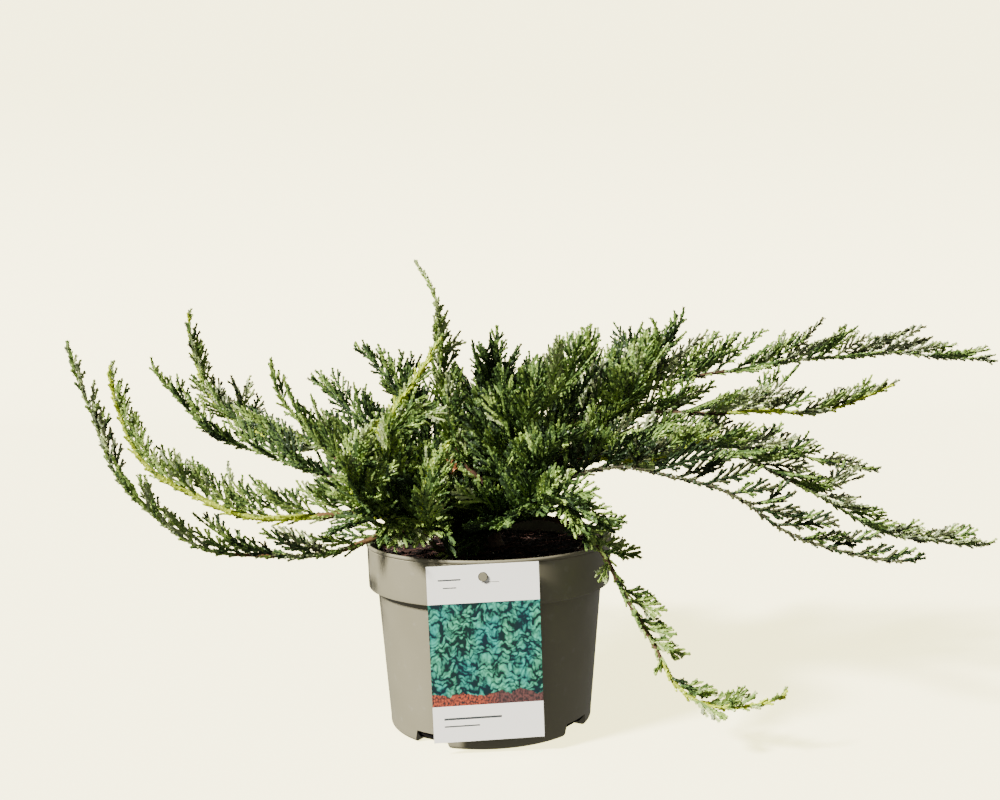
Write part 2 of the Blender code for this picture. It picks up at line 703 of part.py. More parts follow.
class Mass:
    """One mass as it grows: its stem, then the twigs and sprays that find free space of their own."""

    def __init__(self, shoot, route, claims, group, parts, seed):
        self.shoot = shoot
        self.route = route
        self.claims = claims
        self.parts = parts
        self.rng = random.Random(seed)
        self.line, radii, lead = mass_stem(shoot, route)
        stem, faces = prism(self.line, radii, route.at(shoot.bare)[2], lead)
        self.item = mesh_object("mass_" + shoot.name, group, stem, faces)
        self.span = shoot.length * (1.0 - BARE_TIP_SHARE) - shoot.bare

    def place(self, share):
        """Point on the stem at a share of its leafy span, with the stem's direction and upward normal."""
        along = self.span * share
        point = point_along(self.line, along / (self.shoot.length - self.shoot.bare))
        _, way, up = self.route.at(self.shoot.bare + along)
        return point, way, up

    def add_if_free(self, name, points, faces, tested, foot):
        """Add a piece if it has free space, and say whether it had.

        Its points past the foot lie in the mass's own space, and the tested points touch no other part.
        """
        owner = self.shoot.name
        free = self.claims.is_own_space(owner, points[foot:]) and self.claims.is_free(owner, tested, faces)
        if free:
            mesh_object(name, self.parts, points, faces)
            self.claims.add(owner, points, faces)
        return free

    def add_spray(self, point, way, up, roll, length):
        spread = self.rng.uniform(-FORWARD_SPREAD, FORWARD_SPREAD)
        ahead = side_way(way, up, roll, FORWARD_DEGREES + spread)
        turn = self.rng.uniform(-1, 1) * SPRAY_TURN_DEGREES
        normal = turned_about(ahead, np.cross(ahead, way), turn)
        blade, faces = toothed_spray(point, ahead, normal, length)
        swollen, _ = toothed_spray(point + ahead * SPRAY_FOOT, ahead, normal, length, SPRAY_CLEARANCE)
        self.add_if_free("spray", blade, faces, swollen, 4)

    def add_twig(self, share):
        """A side twig that bends upward, with sprays along its outer part."""
        point, way, up = self.place(share)
        roll = self.rng.choice((-1, 1)) * self.rng.uniform(*TWIG_ROLLS)
        ahead = side_way(way, up, roll, self.rng.uniform(*TWIG_FORWARD))
        length = min(self.rng.uniform(*TWIG_LENGTH), self.span * (1.0 - share) * TWIG_REACH_SHARE)
        bend = (up * math.tan(math.radians(TWIG_RISE)) + way * TWIG_DRAW) / 2
        line = [point + length * (ahead * s + bend * s * s) for s in (0.0, 0.5, 1.0)]
        twig, faces = prism(line, TWIG_RADII, up)
        if not self.add_if_free("twig", twig, faces, twig, 3):
            return
        onward = line[-1] - line[-2]
        onward /= np.linalg.norm(onward)
        across = turned_about(onward, up, 0.0)
        for place in np.arange(*TWIG_SPRAY_ZONE, TWIG_SPRAY_GAP / length):
            roll = self.rng.uniform(-TWIG_SPRAY_ROLL, TWIG_SPRAY_ROLL)
            size = length * self.rng.uniform(*TWIG_SPRAYS)
            self.add_spray(point_along(line, place), onward, across, roll, size)

    def grow(self):
        """Add the side twigs, then the sprays of the stem itself, and fuse them on."""
        for number in range(self.shoot.twigs):
            self.add_twig((number + 0.5) / self.shoot.twigs * TWIG_ZONE_SHARE)
        first, last = self.shoot.sprays
        count = max(int(self.span / SPRAY_GAP), 1)
        for number in range(count):
            share = (number + FIRST_SPRAY_SHARE) / count
            roll = SIDE_ROLLS[number % len(SIDE_ROLLS)] + self.rng.uniform(-ROLL_SPREAD, ROLL_SPREAD)
            size = (first + (last - first) * share) * self.rng.uniform(*SPRAY_SIZES)
            self.add_spray(*self.place(share), roll, size)
        if self.parts.objects:
            boolean(self.item, "UNION", self.parts, "MANIFOLD")
            remove_all(self.parts)
            drop_scraps(self.item)
        give_material(self.item, "pale mass" if self.shoot.name in PALE_SHOOTS else "mass")


def point_along(line, share):
    """Point at a share of the way along a line of evenly spaced points."""
    place = min(share, 0.999) * (len(line) - 1)
    first = int(place)
    return line[first] + (line[first + 1] - line[first]) * (place - first)


def main():
    clear_scene()
    plant = new_collection("potted creeping juniper")
    cutters = new_collection("cutters")
    cutters.hide_render = True
    claims = Claims()
    claims.add_object("pot", make_pot(plant, cutters))
    claims.add_object("soil", make_soil(plant))
    claims.add_object("label", make_label(plant, cutters))
    claims.add_object("trunk", make_trunk(plant, cutters))
    routes = {}
    for number, shoot in enumerate(SHOOTS):
        route = Route(shoot, routes, SEED + number)
        routes[shoot.name] = route
        bough = limb("bough_" + shoot.name, plant, *route.stretch(0, shoot.bare, LIMB_STEP), LIMB_SIDES)
        give_material(bough, "bough")
        claims.add_object("bough_" + shoot.name, bough)
        claims.stems[shoot.name] = np.array(route.stretch(shoot.bare, shoot.length, SHOOT_STEP)[0])
        points, radii, lead = mass_stem(shoot, route)
        claims.add(shoot.name, *prism(points, radii, route.at(shoot.bare)[2], lead))
    for number, shoot in enumerate(SHOOTS):
        Mass(shoot, routes[shoot.name], claims, plant, cutters, MASS_SEED + number).grow()
    bpy.data.collections.remove(cutters)


main()
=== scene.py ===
"""Looks of the potted creeping juniper: finely needled shoots on barky boughs, a moulded pot, soil and a card.

The shoots follow the rule of the solids, written again here: each one is a line whose bearing and pitch turn
along it, bare at first and leafy from there on. Sizes are in millimetres until a mesh is made from them.
"""

import json
import math
import random
from collections import namedtuple

import bpy
import numpy as np
from mathutils import Matrix, Vector

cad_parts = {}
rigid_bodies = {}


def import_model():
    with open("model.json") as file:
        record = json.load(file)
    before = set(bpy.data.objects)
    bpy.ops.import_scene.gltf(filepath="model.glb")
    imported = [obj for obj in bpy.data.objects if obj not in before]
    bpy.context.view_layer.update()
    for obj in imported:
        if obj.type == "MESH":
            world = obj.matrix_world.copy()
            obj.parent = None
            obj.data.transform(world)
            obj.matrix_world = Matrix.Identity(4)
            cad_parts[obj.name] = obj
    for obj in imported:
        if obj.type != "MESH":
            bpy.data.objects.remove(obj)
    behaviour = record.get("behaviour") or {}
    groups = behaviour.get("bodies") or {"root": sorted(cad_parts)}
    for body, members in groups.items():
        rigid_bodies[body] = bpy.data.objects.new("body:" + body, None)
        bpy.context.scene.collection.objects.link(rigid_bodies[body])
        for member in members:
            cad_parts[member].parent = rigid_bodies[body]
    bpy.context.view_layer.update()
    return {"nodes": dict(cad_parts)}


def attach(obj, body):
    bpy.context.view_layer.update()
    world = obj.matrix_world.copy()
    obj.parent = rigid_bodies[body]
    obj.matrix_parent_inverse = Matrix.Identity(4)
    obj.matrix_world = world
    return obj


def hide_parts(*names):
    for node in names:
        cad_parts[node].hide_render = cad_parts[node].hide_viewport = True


MM = 0.001
SEED = 41
SEAT_GAP = 0.3

# Pot, as in the solids
RIM_RADIUS = 85.0
POT_HEIGHT = 127.0
LIP_HEIGHT = 2.6
LIP_STEP = 0.8
BAND_FOOT_RADIUS = 83.2
BAND_FOOT_HEIGHT = 96.5
WALL_TOP_RADIUS = 77.4
WALL_FOOT_RADIUS = 69.2
BASE_RADIUS = 67.0
BASE_CORNER_HEIGHT = 2.6
WALL_THICKNESS = 1.4
NOTCH_BEARINGS = (235, 325, 55, 145)
NOTCH_WIDTH = 27.0
NOTCH_HEIGHT = 8.5
NOTCH_DEPTH = 13.0
POT_STEPS = 200

# Soil
SOIL_HEIGHT = 117.0
SOIL_CROWN_HEIGHT = 119.0
SOIL_RADIUS = 82.0
CRUMB_COUNT = 2600
FIBRE_COUNT = 420

# Label, as in the solids
LABEL_WIDTH = 70.0
LABEL_LENGTH = 115.5
LABEL_THICKNESS = 0.5
LABEL_TOP = (-4.9, -86.4, 125.2)
LABEL_LEAN = 4.6
LABEL_ROLL = 1.6
LABEL_HOLE_RADIUS = 3.1
LABEL_HOLE_DROP = 8.0
LABEL_SLIT = (11.0, 0.5)
LABEL_SLIT_DROP = 11.6
BUTTON_RADIUS = 2.6
BUTTON_REACH = 1.3
PICTURE_TOP = 24.5
PICTURE_FOOT = 91.5

# Trunk, as in the solids
TRUNK_FOOT = (0.0, 6.0, SOIL_CROWN_HEIGHT + SEAT_GAP)
TRUNK_TOP = (2.0, 8.0, 154.0)
TRUNK_RADII = ((0.0, 10.5), (0.14, 7.6), (0.3, 6.4), (0.65, 5.8), (1.0, 4.6))
TRUNK_ALLOWANCE = 0.15
LIMB_MEAN_WIDTH = 0.94
FORK_ROOT_DROP = 5.0
Fork = namedtuple("Fork", "bearing pitch length radius")
FORKS = {
    "fork_left": Fork(150, 58, 17, 3.2),
    "fork_right": Fork(15, 48, 18, 3.6),
    "fork_back": Fork(85, 52, 17, 3.2),
    "fork_front": Fork(-50, 60, 15, 2.8),
}

# Shoots, as in the solids
Shoot = namedtuple("Shoot", "name parent place bearing pitch length bare radius sprays twigs")
SHOOTS = (
    Shoot("left_low", "trunk", 11, (200, 186), (10, -15, 15, 65, 80), 345, 72, 2.7, (42, 22), 3),
    Shoot("left_middle", "trunk", 22, (177, 180), (10, -10, 30, 95), 315, 66, 2.6, (42, 22), 4),
    Shoot("left_high", "trunk", 14, (157, 172), (20, 10, 20, 65), 285, 100, 2.6, (42, 22), 3),
    Shoot("left_top", "left_high", 62, (140, 172), (40, -5, 40, 100), 255, 26, 1.9, (42, 22), 3),
    Shoot("left_upright", "left_high", 86, (206, 155), (34, 45, 50, 95), 114, 16, 1.6, (42, 22), 0),
    Shoot("left_back", "trunk", 21, (134, 150), (10, 30, 35, 25), 200, 50, 2.4, (58, 36), 4),
    Shoot("centre_left", "left_back", 46, (110, 150), (65, 35, 50, 20), 145, 16, 1.7, (58, 36), 3),
    Shoot("centre_tall", "fork_left", 0, (150, 150), (40, 80, 90, 50), 170, 30, 2.2, (42, 22), 2),
    Shoot("front_left", "trunk", 20, (222, 200), (-10, 35, 120, 130), 200, 44, 2.4, (58, 36), 6),
    Shoot("front_left_low", "front_left", 40, (235, 190), (20, 5, 95, 140), 120, 14, 1.7, (58, 36), 4),
    Shoot("front_left_near", "trunk", 9, (250, 205), (5, -10, 100, 130), 145, 20, 2.0, (58, 36), 4),
    Shoot("right_top", "fork_right", 0, (15, 5), (50, 10, 5, -10), 415, 90, 2.8, (42, 22), 4),
    Shoot("right_second", "right_top", 66, (-20, 5), (10, 0, 0, 30), 225, 20, 1.9, (42, 22), 2),
    Shoot("right_long", "trunk", 18, (-8, -2), (50, -5, -35, 5), 375, 78, 2.9, (42, 22), 4),
    Shoot("right_third", "right_long", 72, (25, 5), (-15, 10, -15, -10), 240, 20, 1.9, (42, 22), 3),
    Shoot("right_low", "trunk", 12, (-30, -12), (45, 0, -35, 10), 310, 44, 2.6, (42, 22), 4),
    Shoot("right_hanging", "trunk", 8, (-47, -18), (30, 5, -45, -60, -60, -5, 35), 270, 86, 2.1, (28, 20), 0),
    Shoot("right_middle", "right_long", 50, (-35, -5), (15, -10, 30, 15), 110, 14, 1.7, (58, 36), 2),
    Shoot("crest_near", "fork_front", 0, (-50, 50), (70, 50, 45, 80), 130, 14, 2.0, (58, 36), 3),
    Shoot("crest_middle", "right_top", 24, (70, 20), (20, 15, 50, 55), 150, 14, 1.8, (58, 36), 3),
    Shoot("crest_right", "right_top", 50, (-30, 40), (-15, 50, 55, 105), 120, 14, 1.8, (58, 36), 3),
    Shoot("crest_far", "right_top", 76, (42, 20), (20, 35, 35, 75), 114, 14, 1.7, (58, 36), 3),
    Shoot("crest_back", "fork_back", 0, (85, 90), (5, 45, 90, 50), 135, 18, 2.2, (58, 36), 4),
    Shoot("front_right", "trunk", 15, (-84, -35), (0, 25, 20, -85), 140, 18, 2.2, (58, 36), 6),
    Shoot("front_right_up", "trunk", 22, (-66, 0), (5, 55, 45, 30), 105, 16, 2.0, (58, 36), 6),
    Shoot("back_left", "trunk", 8, (116, 118), (25, 15, -10, 20), 240, 40, 2.6, (58, 36), 3),
    Shoot("back_middle", "trunk", 14, (92, 84), (20, 15, -25, -10), 230, 40, 2.6, (58, 36), 3),
    Shoot("back_right", "trunk", 14, (55, 45), (25, 15, -20, 15), 250, 40, 2.6, (58, 36), 3),
)

SHOOT_STEP = 5.0
TIP_RADIUS = 0.8
SWAY_DEGREES = 5.0
SWAY_LENGTH = 62.0

# Foliage, by the rule of the solids
BARE_TIP_SHARE = 0.07
TWIG_ZONE_SHARE = 0.68
TWIG_ROLLS = (25.0, 80.0)
TWIG_FORWARD = (36.0, 50.0)
TWIG_LENGTH = (34.0, 52.0)
TWIG_REACH_SHARE = 0.5
TWIG_RISE = 12.0
TWIG_DRAW = 0.3
ROLL_SPREAD = 14.0

# Finer foliage
ROUND_ROLLS = (52.0, -52.0, 8.0, 76.0, -76.0, -16.0, 34.0, -34.0, 112.0, -112.0)
UPPER_ROLLS = (40.0, -44.0, 10.0, 66.0, -24.0, -66.0, 28.0, -8.0, 84.0, -50.0)
HANGING_ROLLS = (96.0, 30.0, 70.0, -20.0, 88.0, 8.0, 102.0, 44.0, -52.0, 80.0, 14.0, -84.0)
DRAPED_ROLLS = (-96.0, 60.0, -64.0, -30.0, -102.0, 82.0, 14.0, -80.0, 36.0, -92.0)
ERECT_ROLLS = (14.0, -20.0, 6.0, -10.0, 24.0, -16.0)
AROUND_ROLLS = (10.0, -100.0, 80.0, -35.0, 104.0, -75.0, 45.0, 150.0, -60.0, 0.0, -150.0, 70.0)
LEADER_ROLLS = (12.0, 172.0, 60.0, -165.0, -14.0, 150.0, -60.0, 178.0)
LEADER_SIZE = 0.42
LEADER_LEAN = 26.0
FORWARD_SPREAD = 7.0
SPRAY_SIZES = (0.7, 1.08)
SPRAY_TWIST = 50.0
SPRAY_BEND = 0.22
RIM_ROOM = 2.0
TIP_SHARE = 0.22
SPRAY_ROOT = 38.0
SPRAY_TIP = 22.0
CORD_GAP = 3.25
CORD_SPREAD = (0.9, 1.1)
CORD_LEAST = 2.0
CORD_LEAN = 33.0
CORD_DRAW = 0.4
CORD_START = 0.1
SHORTEST_CORD = 2.6
SPRIG_REACH = 7.0
SPRIG_PLACE = 0.5
SPRIG_SHARE = 0.42
SPRIG_LEAN = 27.0
TWIG_SPRAY_START = 6.0
TWIG_SPRAY_GAP = 7.0
TWIG_SPRAY_SIZES = (15.0, 27.0)
HEART_TWIG_LENGTH = (30.0, 48.0)
HEART_PLACES = (0.2, 0.5, 0.8)
HEART_HEIGHT = 10.0
RUST_CHANCE = 0.06
# Chances of a cord taking a paler kind, at a spray's root and at its tip, as a painted highlight, and a darker kind, as
# painted shade.
PAINTED_HIGHLIGHT_CHANCE = (0.2, 0.42)
PAINTED_SHADE_CHANCE = 0.2
CORD_RADIUS = 0.94
NEEDLE_GAP = 2.1
NEEDLE_LENGTH = (2.1, 2.6)
NEEDLE_HALF_WIDTH = 0.8
NEEDLE_WIDEST = 0.45
NEEDLE_LIFT = 0.3
NEEDLE_SPREAD = 5.0
NEEDLE_SINK = 0.3
STEM_LEAF_STEP = 3.0
STEM_SPRIG_STEP = 3.0
LEAFY_BOUGH_SHARE = 0.5
SPRIG_STEM_RADIUS = 1.1
STEM_SPRIG_TURN = 137.5
STEM_SPRIG_LEAN = 26.0
STEM_SPRIG_LENGTH = (3.6, 6.0)
CORD_TAPER = 3.0
CORD_END = 0.75
# Twig cores take their kind's colour darkened by this share: painted shade in the gaps between the needles.
TWIG_PAINTED_SHADE = 0.6
MOST_TRIANGLES = 190000

# Kinds of foliage, with a plain colour each
KINDS = {
    "deep": (0.018, 0.038, 0.01),
    "forest": (0.066, 0.125, 0.028),
    "green": (0.17, 0.275, 0.055),
    "bright": (0.33, 0.47, 0.094),
    "lime": (0.52, 0.64, 0.03),
    "grey": (0.32, 0.385, 0.205),
    "silver": (0.44, 0.54, 0.2),
    "olive": (0.068, 0.08, 0.03),
    "rust": (0.3, 0.12, 0.04),
}
KIND_NAMES = tuple(KINDS)
# Paler and darker neighbours of each kind, used for the painted highlights and painted shade dealt to single cords and
# sprigs.
PALER = {
    "deep": "forest",
    "forest": "green",
    "green": "bright",
    "bright": "silver",
    "grey": "silver",
    "olive": "green",
}
DARKER = {
    "forest": "deep",
    "green": "forest",
    "bright": "green",
    "grey": "olive",
    "silver": "grey",
    "olive": "deep",
    "lime": "bright",
}
# The 'shade' mood, and the 'dark' one of left_high and crest_middle, are painted shade: darker kinds for foliage at the
# back of the crown and in its heart, where shadow falls.
MOODS = {
    "shade": ("deep", "deep", "forest", "forest", "forest", "green"),
    "dark": ("deep", "forest", "forest", "green", "green", "bright"),
    "crest": ("deep", "forest", "green", "green", "bright", "bright"),
    "leafy": ("deep", "forest", "forest", "forest", "green", "green"),
    "fresh": ("forest", "green", "green", "bright", "bright", "bright"),
    "pale": ("green", "green", "bright", "bright", "silver", "silver"),
    "grey": ("forest", "green", "green", "grey", "green", "grey", "bright", "grey"),
    "teal": ("forest", "forest", "green", "grey", "bright", "silver"),
    "olive": ("olive", "deep", "olive", "olive", "deep"),
}
MOOD_START = 0.28
MOOD_RISE = 0.5
MOOD_SPREAD = 0.2

# How each shoot looks. Its foliage has a mood. Its leafy stem has one colour up to a share of its length and a
# leafy leader of another from there on. Its sprays start at a distance in mm from its root, leave it at one angle
# near the root and another near the tip, on the sides that the rolls give, a gap in mm apart. They have a size, a
# fan, which is the share of their length that their cords reach, a twist in degrees, a share left of the cords
# on their lower side, a rise or fall of their ends, and a thickness of cord, and they shrink over a taper in mm
# at the tip. The side twigs' length is scaled by reach.
Style = namedtuple(
    "Style",
    "mood stem leader turning start lean rolls gap size fan twist lower rise thick taper reach narrow heart stout",
    defaults=("fresh", "brown", "green", 0.2, 9.0, (46, 28), ROUND_ROLLS, 5.0, 1.08, 0.46, 50.0, 0.9, 0.14, 1.0, 60.0, 1.0, 1.0, False, 1.0),
)
USUAL_STYLE = Style()
LONG = Style(turning=0.16, start=12.0, lean=(42, 22), gap=7.4, size=1.05, fan=0.42, twist=34.0, lower=0.75, reach=0.8)
FULL = Style(turning=0.1, lean=(44, 28), gap=4.6, size=1.1)
STYLES = {
    "left_low": LONG._replace(
        mood="teal", stem="tan", turning=0.35, start=40.0, lean=(42, 24), rolls=UPPER_ROLLS, gap=10.2, size=1.0, fan=0.36,
        heart=True
    ),
    "left_middle": LONG._replace(
        mood="pale", stem="tan", leader="lime", turning=0.2, stout=1.25, start=50.0, lean=(52, 26), rolls=ERECT_ROLLS, gap=8.4,
        reach=0.6
    ),
    "left_high": LONG._replace(mood="dark", start=48.0, rolls=UPPER_ROLLS, reach=0.45),
    "left_top": LONG._replace(mood="teal", leader="lime", turning=0.04, start=18.0, gap=5.6, size=1.15),
    "left_upright": LONG._replace(start=9.0, gap=7.0, size=0.9),
    "left_back": LONG._replace(mood="shade", start=20.0, gap=6.0, size=1.15),
    "centre_left": USUAL_STYLE._replace(mood="shade"),
    "centre_tall": LONG._replace(
        mood="pale", turning=0.05, start=0.0, lean=(38, 16), rolls=DRAPED_ROLLS, gap=3.6,
        size=0.9, taper=90.0, reach=0.5, narrow=0.66
    ),
    "front_left": FULL._replace(
        leader="lime", stout=1.4, start=8.0, rolls=DRAPED_ROLLS, gap=2.8, taper=110.0, narrow=0.5
    ),
    "front_left_low": FULL._replace(
        leader="lime", start=2.0, lean=(60, 30), rolls=DRAPED_ROLLS, gap=2.3, size=1.25, rise=-0.22, narrow=0.78
    ),
    "front_left_near": FULL._replace(
        leader="lime", turning=0.5, stout=1.2, start=74.0, rolls=AROUND_ROLLS, gap=3.0, reach=0.35,
        narrow=0.7
    ),
    "right_top": LONG._replace(
        mood="grey", turning=0.4, start=34.0, lean=(50, 20), rolls=UPPER_ROLLS, gap=8.2, size=1.55, fan=0.22,
        reach=0.6
    ),
    "right_second": LONG._replace(
        mood="grey", stem="brown", leader="lime", turning=0.4, start=6.0, lean=(46, 24), rolls=UPPER_ROLLS
    ),
    "right_third": LONG._replace(mood="grey", turning=0.3, rolls=UPPER_ROLLS, gap=8.8, fan=0.38, reach=0.6),
    "right_long": LONG._replace(mood="grey", turning=0.5, start=38.0, rolls=UPPER_ROLLS, gap=7.0, taper=45.0, reach=0.6),
    "right_low": LONG._replace(
        mood="olive", stem="olive", leader="olive", turning=0.1, start=6.0, lean=(40, 30), rolls=ERECT_ROLLS,
        gap=17.0, size=1.3, fan=0.36, twist=12.0, lower=0.6, thick=1.25, taper=50.0, reach=0.5
    ),
    "right_hanging": LONG._replace(
        mood="fresh", leader="lime", turning=0.5, start=44.0, lean=(62, 34), gap=7.0, size=0.8, fan=0.5, thick=1.3
    ),
    "right_middle": LONG._replace(mood="fresh", stem="lime", leader="lime", start=10.0, gap=5.6, rolls=UPPER_ROLLS),
    "front_right": FULL._replace(
        mood="leafy", start=3.0, lean=(54, 38), rolls=HANGING_ROLLS, gap=2.8, size=1.15, rise=-0.16, taper=30.0
    ),
    "front_right_up": FULL._replace(mood="leafy", start=3.0, lean=(54, 34), gap=4.2, size=1.1),
    "crest_near": USUAL_STYLE._replace(mood="crest", start=4.0, lean=(60, 34), rolls=UPPER_ROLLS, gap=4.0, size=1.35),
    "crest_middle": USUAL_STYLE._replace(mood="dark"),
    "crest_far": USUAL_STYLE._replace(mood="shade"),
    "crest_back": USUAL_STYLE._replace(mood="shade", lean=(62, 34), gap=3.8, size=1.6, taper=90.0),
}
STEM_SLIMMING = 0.35
LEADER_SLIMMING = 0.0
SLIMMING_LENGTH = 40.0
STEM_COLOURS = {
    "brown": ((0.028, 0.018, 0.01), (0.1, 0.058, 0.028)),
    "tan": ((0.045, 0.021, 0.008), (0.13, 0.068, 0.022)),
    "lime": ((0.2, 0.25, 0.014), (0.4, 0.46, 0.03)),
    "green": ((0.05, 0.075, 0.02), (0.13, 0.18, 0.045)),
    "olive": ((0.014, 0.013, 0.006), (0.045, 0.04, 0.018)),
}

# Camera and lights, fitted to the ellipses of the pot in the photograph
CAMERA_PLACE = (0.0, -0.8, 0.272)
CAMERA_TURN = 5.54
CAMERA_DIP = 3.6
CAMERA_ROLL = 0.3
FOCAL_PIXELS = 1152.0
PHOTO_WIDTH = 1000.0
PRINCIPAL_X = 600.0
SENSOR = 36.0
KEY_WAY = (1.0, 0.62, -0.92)
KEY_STRENGTH = 18.0
KEY_SPREAD = 9.0
WORLD_STRENGTH = 0.36
FLOOR_GLOW = 3.7
FLOOR_GLOW_COLOUR = (1.0, 0.92, 0.43)

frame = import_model()
NODES = list(frame["nodes"])


# Meshes


def mesh_object(name, points, faces, smooth=False):
    """An object from points in millimetres and an array of faces of one size."""
    mesh = bpy.data.meshes.new(name)
    points = np.asarray(points, dtype=np.float32) * MM
    faces = np.asarray(faces, dtype=np.int32)
    mesh.vertices.add(len(points))
    mesh.vertices.foreach_set("co", points.ravel())
    sides = faces.shape[1]
    mesh.loops.add(faces.size)
    mesh.loops.foreach_set("vertex_index", faces.ravel())
    mesh.polygons.add(len(faces))
    mesh.polygons.foreach_set("loop_start", np.arange(len(faces), dtype=np.int32) * sides)
    mesh.polygons.foreach_set("loop_total", np.full(len(faces), sides, dtype=np.int32))
    mesh.polygons.foreach_set("use_smooth", np.full(len(faces), smooth))
    mesh.update(calc_edges=True)
    item = bpy.data.objects.new(name, mesh)
    bpy.context.scene.collection.objects.link(item)
    return item


def grid_faces(rows, columns):
    """Quads of a grid that closes round its columns, facing outward when the columns run anticlockwise."""
    row, column = np.meshgrid(np.arange(rows - 1), np.arange(columns), indexing="ij")
    after = (column + 1) % columns
    faces = np.stack(
        [row * columns + column, row * columns + after, (row + 1) * columns + after, (row + 1) * columns + column],
        axis=-1,
    )
    return faces.reshape(-1, 4)


def smooth_noise(places, scale, seed):
    """Smooth noise in about -1 to 1: a sum of sines along seeded directions, for an array of places."""
    rng = np.random.default_rng(seed)
    total = np.zeros(len(places))
    for octave in range(1, 4):
        for _ in range(5):
            way = rng.normal(size=3)
            way /= np.linalg.norm(way)
            total += np.sin(places @ way * (octave * 2 * np.pi / scale) + rng.uniform(0, 6.28)) / octave
    return total / 5.0


def bake(item):
    """Replace the mesh with what its modifiers make of it."""
    depsgraph = bpy.context.evaluated_depsgraph_get()
    finished = bpy.data.meshes.new_from_object(item.evaluated_get(depsgraph))
    old = item.data
    item.modifiers.clear()
    item.data = finished
    bpy.data.meshes.remove(old)


def boolean(item, operation, other):
    step = item.modifiers.new(operation.lower(), "BOOLEAN")
    step.operation = operation
    step.solver = "EXACT"
    step.object = other
    bake(item)
    bpy.data.objects.remove(other, do_unlink=True)


def round_edges(item, degrees):
    item.data.shade_smooth()
    item.data.set_sharp_from_angle(angle=math.radians(degrees))


def box_points(width, depth, height):
    """Corners and quads of a box about the origin."""
    corners = [(x, y, z) for z in (-0.5, 0.5) for y in (-0.5, 0.5) for x in (-0.5, 0.5)]
    faces = [(0, 2, 3, 1), (4, 5, 7, 6), (0, 1, 5, 4), (2, 6, 7, 3), (0, 4, 6, 2), (1, 3, 7, 5)]
    return np.array(corners) * (width, depth, height), faces


def drum_points(radius, reach, sides=48):
    """A closed drum along Y about the origin, as triangles."""
    turn = np.arange(sides) * 2 * np.pi / sides
    ring = np.stack([radius * np.cos(turn), np.zeros(sides), radius * np.sin(turn)], axis=-1)
    points = np.vstack([ring - (0, reach / 2, 0), ring + (0, reach / 2, 0), [(0, -reach / 2, 0), (0, reach / 2, 0)]])
    faces = []
    for side in range(sides):
        after = (side + 1) % sides
        faces.append((side, after, sides + after))
        faces.append((side, sides + after, sides + side))
        faces.append((after, side, 2 * sides))
        faces.append((sides + side, sides + after, 2 * sides + 1))
    return points, [face[::-1] for face in faces]


# Shoots


def heading(bearing, pitch):
    """Unit vectors of bearings and pitches in degrees."""
    b = np.radians(bearing)
    p = np.radians(pitch)
    return np.stack([np.cos(p) * np.cos(b), np.cos(p) * np.sin(b), np.sin(p) + 0 * b], axis=-1)


def trunk_place(height):
    foot = np.array(TRUNK_FOOT)
    rise = np.array(TRUNK_TOP) - foot
    share = height / np.linalg.norm(rise)
    shares, radii = zip(*TRUNK_RADII)
    return foot + rise * share, np.interp(share, shares, radii), rise / np.linalg.norm(rise)


def fork_root():
    """The point inside the trunk's top that the four arms start from."""
    return np.array(TRUNK_TOP) - (0.0, 0.0, FORK_ROOT_DROP)


def trunk_clearance(shoot):
    """How far along its own direction a bough starts, for both edges of its flat end to clear the trunk."""
    pitch = math.radians(shoot.pitch[0])
    distance = TRUNK_RADII[1][1]
    for _ in range(4):
        needed = []
        for edge in (-shoot.radius, shoot.radius):
            height = shoot.place + distance * math.sin(pitch) + edge * math.cos(pitch)
            _, trunk_radius, _ = trunk_place(height)
            clear = trunk_radius + SEAT_GAP + TRUNK_ALLOWANCE
            needed.append((clear + edge * math.sin(pitch)) / math.cos(pitch))
        distance = max(needed)
    return distance


